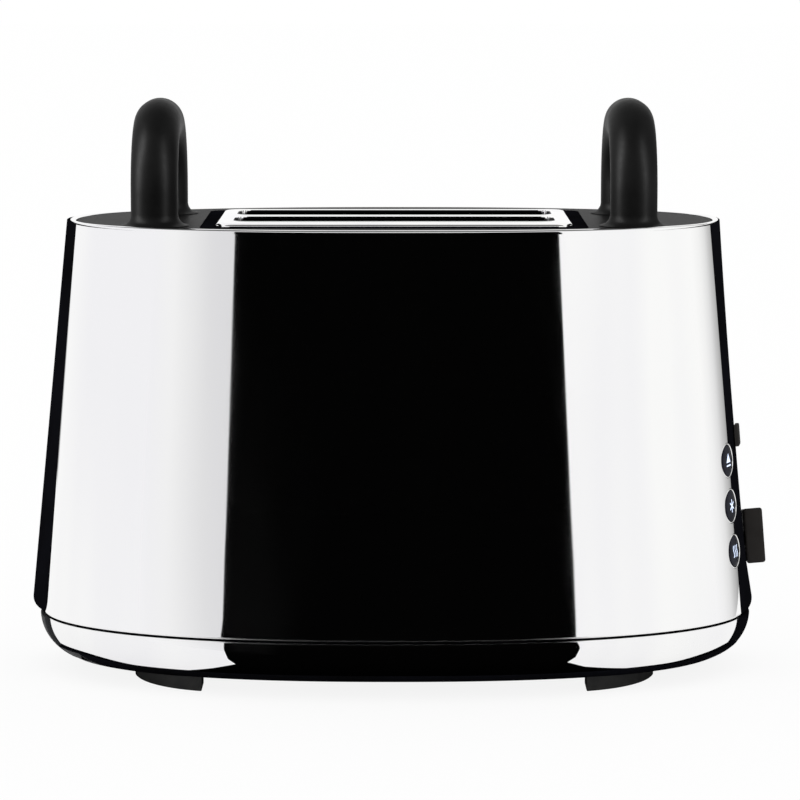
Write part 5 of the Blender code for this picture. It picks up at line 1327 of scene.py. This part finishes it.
def makePan():
    ledge = skirtLow - gap
    behind = wallParts["skirtWall"] + 2 * gap
    collarHigh = bodyForm["seamHeight"] + base["collarHeight"]
    soft = base["edgeRound"]
    rings = [baseRing(baseInsetAt(z), z) for z in baseHeights(baseLow, ledge - soft)]
    rings.append(baseRing(baseInsetAt(ledge) + soft * 0.3, ledge - soft * 0.3))
    rings.append(baseRing(baseInsetAt(ledge) + soft, ledge))
    rings.append(skirtRing(baseInsetAt(ledge) + behind, ledge))
    shoulder = ledge + (skirtHigh - skirtLow) / 4
    rings += [skirtRing(base["collarInset"], shoulder), skirtRing(base["collarInset"], collarHigh),
              skirtRing(base["collarInset"] + base["wall"], collarHigh),
              skirtRing(base["collarInset"] + base["wall"], shoulder)]
    for ring in rings[:-4]:
        for point in ring:
            dipEdge(point, (point.z - baseLow) / (ledge - baseLow))
            point.x += base["rightShift"] * min(max((point.x - 0.140) / 0.010, 0), 1)
    for z in baseHeights(floorTop, ledge, 5)[::-1][1:]:
        rings.append(skirtRing(baseInsetAt(z) + behind + base["wall"], z))
    pan = loft("pan", rings)
    levels = []
    for z in [skirtHigh] + baseHeights(ledge - gap, skirtHigh, 12)[::-1][1:]:
        inset = baseInsetAt(z) + gap - base["endProud"] - base["rightShift"]
        levels.append((bodyForm["seamHalfLength"] - inset, bodyForm["seamHalfDepth"] - inset, z))
    for z in (ledge - gap, skirtHigh):
        inset = base["collarInset"] + base["wall"] / 2
        levels.append((bodyForm["seamHalfLength"] - inset, bodyForm["seamHalfDepth"] - inset, z))
    cap = endStrip(1, lambda z: wallParts["skirtEdge"] - gap, levels, 24)
    softenEdges(cap, 0.0004, 2, 60)
    joinTo(pan, cap, *panRibs())
    cutFrom(pan, *panOpenings())
    place(pan, "basePan", blackGloss, slot="black_gloss", stands=["base_pan"], sharp=40)


feet = {"reach": 0.0450, "width": 0.0150, "centreX": 0.0700, "centreY": 0.0182, "endX": 0.0830,
        "tipAngle": math.radians(10), "round": 0.0006, "steps": 26}


def makeFeet():
    for end, endWord in ((-1, "left"), (1, "right")):
        for side, sideWord in ((-1, "front"), (1, "rear")):
            start = math.acos((feet["endX"] - feet["centreX"]) / feet["reach"])
            inner = feet["reach"] - feet["width"]
            outline = []
            for step in range(feet["steps"] + 1):
                angle = start + (feet["tipAngle"] - start) * step / feet["steps"]
                outline.append((feet["centreX"] + feet["reach"] * math.cos(angle),
                                feet["centreY"] + feet["reach"] * math.sin(angle)))
            stop = math.acos((feet["endX"] - feet["centreX"]) / inner)
            for step in range(1, feet["steps"] + 1):
                share = step / feet["steps"]
                angle = feet["tipAngle"] + (stop - feet["tipAngle"]) * share
                radius = inner + (feet["reach"] - inner) * (1 - share) ** 2 * 0.7
                outline.append((feet["centreX"] + radius * math.cos(angle), feet["centreY"] + radius * math.sin(angle)))
            outline = [(end * x, side * y) for x, y in outline]
            foot = slab("foot", outline, "Z", 0, baseLow + 0.0090)
            softenEdges(foot, feet["round"], 3, 50)
            heights = baseHeights(baseLow, skirtHigh, 16)
            form = [baseRing(baseInsetAt(z) - gap, z) for z in heights[1:]]
            form.insert(0, baseRing(bodyForm["baseDraw"] - gap, baseLow - gap))
            cutFrom(foot, loft("form", form))
            name = "foot_" + sideWord + "_" + endWord
            place(foot, sideWord + endWord.capitalize() + "Foot", rubber, slot="rubber", stands=[name], sharp=45)


def trayFront(inset, z, halfWidth, steps=30):
    halfLength = bodyForm["seamHalfLength"] + base["endProud"] - inset
    halfDepth = bodyForm["seamHalfDepth"] - inset
    rows = [halfWidth * (2 * step / steps - 1) for step in range(steps + 1)]
    return [Vector((-planX(halfLength, halfDepth, y), y, z)) for y in rows]


def makeTray():
    back, half = tray["backX"], tray["halfWidth"]
    rings = []
    for z in baseHeights(trayLow, trayHigh, 6):
        ring = trayFront(baseInsetAt(z) + gap, z, half)
        rings.append(ring + [Vector((back, half, z)), Vector((back, -half, z))])
    body = loft("tray", rings)
    rings = []
    for z in baseHeights(trayLow, skirtHigh, 14):
        half = wallParts["skirtEdge"] - 2 * gap
        outer = trayFront(baseInsetAt(z), z, half)
        inner = trayFront(baseInsetAt(z) + tray["frontWall"], z, half)
        rings.append(outer + inner[::-1])
    grip = loft("grip", rings)
    softenEdges(grip, 0.0004, 2, 60)
    joinTo(body, grip)
    front = -bodyForm["seamHalfLength"] + baseInsetAt(trayLow) + 3 * tray["frontWall"]
    half, sheet = tray["halfWidth"], tray["sheet"]
    hollow = block("hollow", (front, sheet - half, trayLow + sheet), (back - sheet, half - sheet, trayHigh + 0.004))
    cutFrom(body, hollow)
    place(body, "crumbTray", charcoal, "tray", slot="grey_plastic", stands=["crumb_tray"], sharp=40)


def makeTrims():
    low, high = (corner.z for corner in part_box("deck_trim_left"))
    near, far = deck["halfLength"] + gap, deck["trimReach"] - gap
    half, corner = deck["trimHalfDepth"] - gap, 0.0050
    outline = [(near, -half)]
    for start, y in ((-math.pi / 2, corner - half), (0, half - corner)):
        for step in range(13):
            angle = start + math.pi / 2 * step / 12
            outline.append((far - corner + corner * math.cos(angle), y + corner * math.sin(angle)))
    outline.append((near, half))
    outer = roundedOutline(deck["frameReach"], deck["frameHalfDepth"], 0.0060, 14)
    inner = roundedOutline(deck["trimReach"] - gap, half, 0.0050, 14)
    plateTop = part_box("top_plate")[1].z
    rings = [[(x, y, z) for x, y in outline] for outline, z in (
        (inner, plateTop), (outer, plateTop), (outer, plateTop + deck["frameHeight"]),
        (inner, plateTop + deck["frameHeight"]))]
    place(loft("frame", rings, closed=True), "deckFrame", trimBlack, slot="black_gloss")
    for end, word in ((-1, "left"), (1, "right")):
        trim = slab("trim", [(end * x, end * y) for x, y in outline], "Z", low, high)
        softenEdges(trim, 0.0003, 2, 60)
        place(trim, word + "Trim", trimBlack, slot="black_gloss", stands=["deck_trim_" + word])


makePan()
makeFeet()
makeTray()
makeTrims()
print("base ready")


# Controls on the right end: the lever, three lit buttons in bright bezels, and the browning slider

lever = {"halfWidth": 0.0100, "top": 0.0670, "bottom": 0.0456, "depth": 0.0084, "clearance": 0.0005, "frontRise": 0.0036,
         "round": 0.0012, "socketDepth": 0.0045}
buttonParts = {"gap": 0.00025, "collar": 0.0009, "collarHeight": 0.0010, "stemRadius": 0.0020,
               "stemLength": 0.0016, "foot": -0.0001, "proud": 0.0003, "flat": 0.0033}
signs = {"stroke": 0.00048, "thick": 0.00006, "reach": 0.0029}


def leverFaceX(z):
    return bandFaceX(z, 0) + lever["clearance"]


def makeLever():
    middle, half = (lever["bottom"] + lever["top"]) / 2, (lever["top"] - lever["bottom"]) / 2
    spot = Matrix.Translation((leverFaceX(middle), lift["y"], middle)) @ Matrix.Rotation(-wallTilt, 4, "Y")
    width, depth = lever["halfWidth"], lever["depth"]
    knob = block("lever", (0, -width, -half), (depth, width, half))
    for corner in knob.data.vertices:
        if corner.co.y < 0 and corner.co.z > 0:
            corner.co.z += lever["frontRise"]
    knob.data.transform(spot)
    softenEdges(knob, lever["round"], 4, 50)
    side, high = lift["armHalfWidth"] + gap, lift["armTop"]
    cutFrom(knob, block("socket", (leverFaceX(high) - 0.004, lift["y"] - side, lift["armBottom"] - gap),
                        (leverFaceX(high) + lever["socketDepth"], lift["y"] + side, high + gap)))
    place(knob, "leverKnob", leverBlack, "lift", slot="black_satin", stands=["lever_knob"], sharp=60)


def bezelProfile():
    outer, wall = controls["bezelRadius"], controls["bezelWall"]
    crest = controls["bezelProud"]
    profile = [(outer - wall, -controls["bezelDepth"]), (outer, -controls["bezelDepth"]), (outer, 0)]
    for step in range(13):
        angle = math.pi * step / 12
        profile.append((outer - wall / 2 * (1 - math.cos(angle)), crest - wall / 2 + wall / 2 * math.sin(angle)))
    return profile


def buttonProfile():
    radius = controls["bezelRadius"] - controls["bezelWall"] - buttonParts["gap"]
    face = buttonParts["proud"]
    low = -controls["bezelDepth"] - gap
    collarLow = low - buttonParts["collarHeight"]
    wide = radius + buttonParts["collar"]
    profile = [(buttonParts["stemRadius"], collarLow - buttonParts["stemLength"]), (buttonParts["stemRadius"], collarLow),
               (wide, collarLow), (wide, low), (radius, low)]
    flat, foot = buttonParts["flat"], buttonParts["foot"]
    for step in range(13):
        angle = math.pi / 2 * step / 12
        profile.append((flat + (radius - flat) * math.cos(angle), foot + (face - foot) * math.sin(angle)))
    profile += [(flat * share, face) for share in (0.5, 0.02)]
    return profile


def bar(start, stop, width):
    # A straight stroke with square ends, as four corners.
    along = (Vector(stop) - Vector(start)).normalized()
    away = Vector((-along.y, along.x)) * width / 2
    return [Vector(start) - away, Vector(stop) - away, Vector(stop) + away, Vector(start) + away]


def wavyStroke(middle, height, swing, width, steps=18):
    left, right = [], []
    for step in range(steps + 1):
        share = step / steps
        up = height * (share - 0.5)
        sideways = middle + swing * math.sin(math.tau * share)
        lean = swing * math.tau * math.cos(math.tau * share) / height
        away = Vector((1, -lean)).normalized() * width / 2
        left.append(Vector((sideways, up)) - away)
        right.append(Vector((sideways, up)) + away)
    return right + left[::-1]


def signShapes(word):
    reach, stroke = signs["reach"], signs["stroke"]
    if word == "cancel":
        triangle = [Vector((-reach * 0.95, -reach * 0.30)), Vector((reach * 0.95, -reach * 0.30)),
                    Vector((0, reach * 1.05))]
        return [triangle, bar((-reach * 0.95, -reach * 0.78), (reach * 0.95, -reach * 0.78), stroke * 1.3)]
    shapes = []
    if word == "defrost":
        for turn in range(6):
            angle = math.pi / 2 + math.tau * turn / 6
            out = Vector((math.cos(angle), math.sin(angle)))
            shapes.append(bar(out * 0.0001, out * reach, stroke * 1.15))
        return shapes
    for middle in (-0.82, 0, 0.82):
        shapes.append(wavyStroke(middle * reach, reach * 1.8, reach * 0.22, stroke))
    return shapes


def makeSign(word, index):
    face = buttonParts["proud"]
    spot = buttonPlace(index)
    bm = bmesh.new()
    for layer, shape in enumerate(signShapes(word)):
        # Strokes that cross lie a hair apart in height, so that no two faces share a plane.
        low, high = face - signs["thick"], face + signs["thick"] * 2 + layer * 0.000002
        rings = [[spot @ Vector((-point.y, point.x, level)) for point in shape] for level in (low, high)]
        rows = addRows(bm, rings)
        bm.faces.new(rows[0])
        bm.faces.new(rows[-1])
    place(leanSides(toObject("sign", bm), index, 0, controls["rearDrop"]), word + "Sign", signLight, word + ("_key"), slot="grey_plastic")


def leanSides(obj, index, front, rear):
    # Lowers a round piece towards its front and rear edge, along the button's axis.
    spot = buttonPlace(index)
    back = spot.inverted()
    for corner in obj.data.vertices:
        point = back @ corner.co
        if point.z > -0.0012:
            share = point.y / controls["bezelRadius"]
            point.z -= (front if share < 0 else rear) * share * share
            corner.co = spot @ point
    return obj


def makeButtons():
    for index, word in zip((-1, 0, 1), controls["signs"]):
        bezel = lathe("bezel", bezelProfile(), buttonPlace(index), 96, bore=True)
        leanSides(bezel, index, controls["frontDrop"], 0)
        place(bezel, word + "Bezel", chrome, slot="chrome", stands=[word + "_bezel"], sharp=50)
        button = lathe("button", buttonProfile(), buttonPlace(index), 96)
        leanSides(button, index, 0, controls["rearDrop"])
        place(button, word + "Button", buttonFace, word + "_key", slot="grey_plastic", stands=[word + "_button"])
        makeSign(word, index)


def sliderLean():
    # How fast the band's face falls away across the knob, which follows it.
    inner = bandFaceX(slider["height"], slider["y"] - slider["halfWidth"])
    outer = bandFaceX(slider["height"], slider["y"] + slider["halfWidth"])
    return (inner - outer) / (2 * slider["halfWidth"])


def makeSlider():
    spot, lean = sliderPlace(), sliderLean()
    halfZ, halfY, edge = slider["halfLength"], slider["halfWidth"], slider["round"]
    levels = [(slider["lift"], 0)]
    for step in range(7):
        angle = math.pi / 2 * step / 6
        levels.append((slider["proud"] - edge + edge * math.sin(angle), edge * (1 - math.cos(angle))))
    rings = []
    for out, drawn in levels:
        outline = roundedOutline(halfY - drawn, halfZ - drawn, edge, 6)
        rings.append([spot @ Vector((out + y * lean, y, z)) for y, z in outline])
    knob = loft("slider", rings)
    stem = slider["stem"]
    reach = middleX + spot.translation.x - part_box("browning_slider")[0].x
    shank = block("shank", (-reach, -stem, -stem), (slider["proud"] / 2, stem, stem))
    shank.data.transform(spot)
    joinTo(knob, shank)
    place(knob, "browningSlider", leverBlack, "browning", slot="black_satin", stands=["browning_slider"])


def makeGland():
    radius, bore, proud = gland["radius"], gland["bore"], gland["proud"]
    profile = [(bore, -gland["depth"]), (radius, -gland["depth"])]
    for step in range(7):
        angle = math.pi / 2 * step / 6
        profile.append((radius - 0.0006 * (1 - math.cos(angle)), proud - 0.0006 * (1 - math.sin(angle))))
    profile += [(bore + 0.0004, proud), (bore, proud - 0.0004)]
    place(lathe("gland", profile, glandPlace(), 64, bore=True), "cordGland", charcoal, slot="black_matte",
          stands=["cord_gland"])


makeLever()
makeButtons()
makeSlider()
makeGland()
print("controls ready")


# Inside: wire guards beside the bread, and the ribbon on the heater boards

guards = {"wire": 0.0008, "wires": 7, "inset": 0.0032, "sides": 12, "topDrop": 0.0030}
spring = {"wire": 0.0006, "turns": 12.0, "travel": 0.0500}
ribbons = {"rows": 6, "height": 0.0016, "thick": 0.00018, "lift": 0.0002}


def guardTree():
    tree, given = newTree("wireGuard", {
        "Half Length": "Float", "Bottom": "Float", "Top": "Float", "Depth": "Float", "Middle": "Float",
        "Wire": "Float", "Wires": "Int", "Inset": "Float", "Sides": "Int", "Finish": "Material"})
    height = calc(tree, "SUBTRACT", given["Top"], given["Bottom"])
    level = calc(tree, "MULTIPLY_ADD", height, 0.5, given["Bottom"])
    reach = calc(tree, "SUBTRACT", given["Half Length"], given["Inset"])
    left = calc(tree, "SUBTRACT", given["Middle"], reach)
    pitch = calc(tree, "DIVIDE", calc(tree, "MULTIPLY", reach, 2.0), calc(tree, "SUBTRACT", given["Wires"], 1.0))
    start = addNode(tree, "ShaderNodeCombineXYZ", {0: left, 1: given["Depth"], 2: level})
    offset = addNode(tree, "ShaderNodeCombineXYZ", {0: pitch})
    spots = addNode(tree, "GeometryNodeMeshLine", {"Count": given["Wires"], "Start Location": start.outputs[0],
                                                   "Offset": offset.outputs[0]})
    wire = addNode(tree, "GeometryNodeMeshCylinder", {"Vertices": given["Sides"], "Radius": given["Wire"],
                                                      "Depth": height}, fill_type="NGON")
    wires = addNode(tree, "GeometryNodeInstanceOnPoints", {"Points": spots.outputs[0], "Instance": wire.outputs[0]})
    width = calc(tree, "MULTIPLY", given["Half Length"], 2.0)
    rail = addNode(tree, "GeometryNodeMeshCylinder", {"Vertices": given["Sides"], "Radius": given["Wire"],
                                                      "Depth": width}, fill_type="NGON")
    low = addNode(tree, "ShaderNodeCombineXYZ", {0: given["Middle"], 1: given["Depth"],
                                                 2: calc(tree, "ADD", given["Bottom"], given["Wire"])})
    step = addNode(tree, "ShaderNodeCombineXYZ", {2: calc(tree, "MULTIPLY_ADD", given["Wire"], -2.0, height)})
    ends = addNode(tree, "GeometryNodeMeshLine", {"Count": 2, "Start Location": low.outputs[0],
                                                  "Offset": step.outputs[0]})
    rails = addNode(tree, "GeometryNodeInstanceOnPoints", {"Points": ends.outputs[0], "Instance": rail.outputs[0],
                                                           "Rotation": (0, math.pi / 2, 0)})
    both = addNode(tree, "GeometryNodeJoinGeometry")
    tree.links.new(wires.outputs[0], both.inputs[0])
    tree.links.new(rails.outputs[0], both.inputs[0])
    closeTree(tree, both.outputs[0], given["Finish"])
    return tree


def ribbonTree():
    tree, given = newTree("heaterRibbon", {
        "Half Length": "Float", "Bottom": "Float", "Pitch": "Float", "Rows": "Int", "Depth": "Float",
        "Middle": "Float", "Away": "Float", "Height": "Float", "Thick": "Float", "Finish": "Material"})
    size = addNode(tree, "ShaderNodeCombineXYZ", {0: calc(tree, "MULTIPLY", given["Half Length"], 2.0),
                                                  1: given["Thick"], 2: given["Height"]})
    strip = addNode(tree, "GeometryNodeMeshCube", {"Size": size.outputs[0]})
    joined = addNode(tree, "GeometryNodeJoinGeometry")
    for side in (-1.0, 1.0):
        start = addNode(tree, "ShaderNodeCombineXYZ", {
            0: given["Middle"], 1: calc(tree, "MULTIPLY_ADD", given["Away"], side, given["Depth"]),
            2: given["Bottom"]})
        offset = addNode(tree, "ShaderNodeCombineXYZ", {2: given["Pitch"]})
        rows = addNode(tree, "GeometryNodeMeshLine", {"Count": given["Rows"], "Start Location": start.outputs[0],
                                                      "Offset": offset.outputs[0]})
        strips = addNode(tree, "GeometryNodeInstanceOnPoints", {"Points": rows.outputs[0],
                                                                "Instance": strip.outputs[0]})
        tree.links.new(strips.outputs[0], joined.inputs[0])
    closeTree(tree, joined.outputs[0], given["Finish"])
    return tree


def springTree():
    tree, given = newTree("liftSpring", {"Turns": "Float", "Radius": "Float", "Height": "Float", "Wire": "Float",
                                         "Finish": "Material"})
    path = addNode(tree, "GeometryNodeCurveSpiral", {"Resolution": 28, "Rotations": given["Turns"],
                                                     "Start Radius": given["Radius"], "End Radius": given["Radius"],
                                                     "Height": given["Height"]})
    ring = addNode(tree, "GeometryNodeCurvePrimitiveCircle", {"Resolution": 10, "Radius": given["Wire"]})
    wire = addNode(tree, "GeometryNodeCurveToMesh", {"Curve": path.outputs[0], "Profile Curve": ring.outputs[0],
                                                     "Fill Caps": True})
    closeTree(tree, wire.outputs[0], given["Finish"])
    return tree


def makeSpring():
    # A coil of wire of one fixed length, in the return spring's place.
    low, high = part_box("return_spring")
    length, wire = high.z - low.z, spring["wire"]
    coil = growPiece("spring", springTree(), {
        "Turns": spring["turns"], "Radius": (high.y - low.y) / 2 - wire, "Height": length - 2 * wire, "Wire": wire,
        "Finish": brightWire})
    middle = ((low.x + high.x) / 2 - middleX, (low.y + high.y) / 2)
    coil.data.transform(Matrix.Translation((*middle, low.z + wire)))
    coil = place(cleanGrown(coil), "liftSpring", brightWire, slot="steel", stands=["return_spring"])
    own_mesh(coil)


def cleanGrown(obj):
    bm = bmesh.new()
    bm.from_mesh(obj.data)
    bpy.data.objects.remove(obj)
    return toObject("grown", bm)


def makeInsides():
    tree = guardTree()
    for side in ("front", "rear"):
        for way in ("front", "rear"):
            node = "bread_guard_" + side + "_" + way
            low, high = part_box(node)
            guard = growPiece("guard", tree, {
                "Half Length": (high.x - low.x) / 2, "Bottom": low.z, "Top": high.z - guards["topDrop"],
                "Depth": (low.y + high.y) / 2,
                "Middle": (low.x + high.x) / 2 - middleX, "Wire": guards["wire"], "Wires": guards["wires"],
                "Inset": guards["inset"], "Sides": guards["sides"], "Finish": brightWire})
            place(cleanGrown(guard), side + way.capitalize() + "Guard", brightWire, slot="steel", stands=[node])
    tree = ribbonTree()
    for word in ("front", "middle", "rear"):
        low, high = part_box("heater_board_" + word)
        pitch = (high.z - low.z) / ribbons["rows"]
        ribbon = growPiece("ribbon", tree, {
            "Half Length": (high.x - low.x) / 2 - 0.0022, "Bottom": low.z + pitch / 2, "Pitch": pitch,
            "Rows": ribbons["rows"], "Depth": (low.y + high.y) / 2, "Middle": (low.x + high.x) / 2 - middleX,
            "Away": (high.y - low.y) / 2 + ribbons["lift"], "Height": ribbons["height"], "Thick": ribbons["thick"],
            "Finish": ribbonMetal})
        place(cleanGrown(ribbon), word + "Ribbon", ribbonMetal, slot="steel")
    makeSpring()
    print("insides ready")


makeInsides()


# Finishes of the pieces that stay as they were packed

packedFinishes = {
    "chassis_plate": sheetSteel, "reflector": sheetSteel, "heater_board": mica, "guide_rod": brightWire,
    "carriage": sheetSteel, "bread_rack": brightWire, "latch_armature": sheetSteel,
    "latch_magnet": copper, "control_board": boardGreen, "cancel_switch": charcoal, "defrost_switch": charcoal,
    "reheat_switch": charcoal, "browning_control": charcoal, "base_screw": sheetSteel,
}
for name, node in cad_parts.items():
    for start, finish in packedFinishes.items():
        if name.startswith(start):
            for slotNumber in range(len(node.material_slots)):
                node.material_slots[slotNumber].material = finish
print("packed pieces dressed")
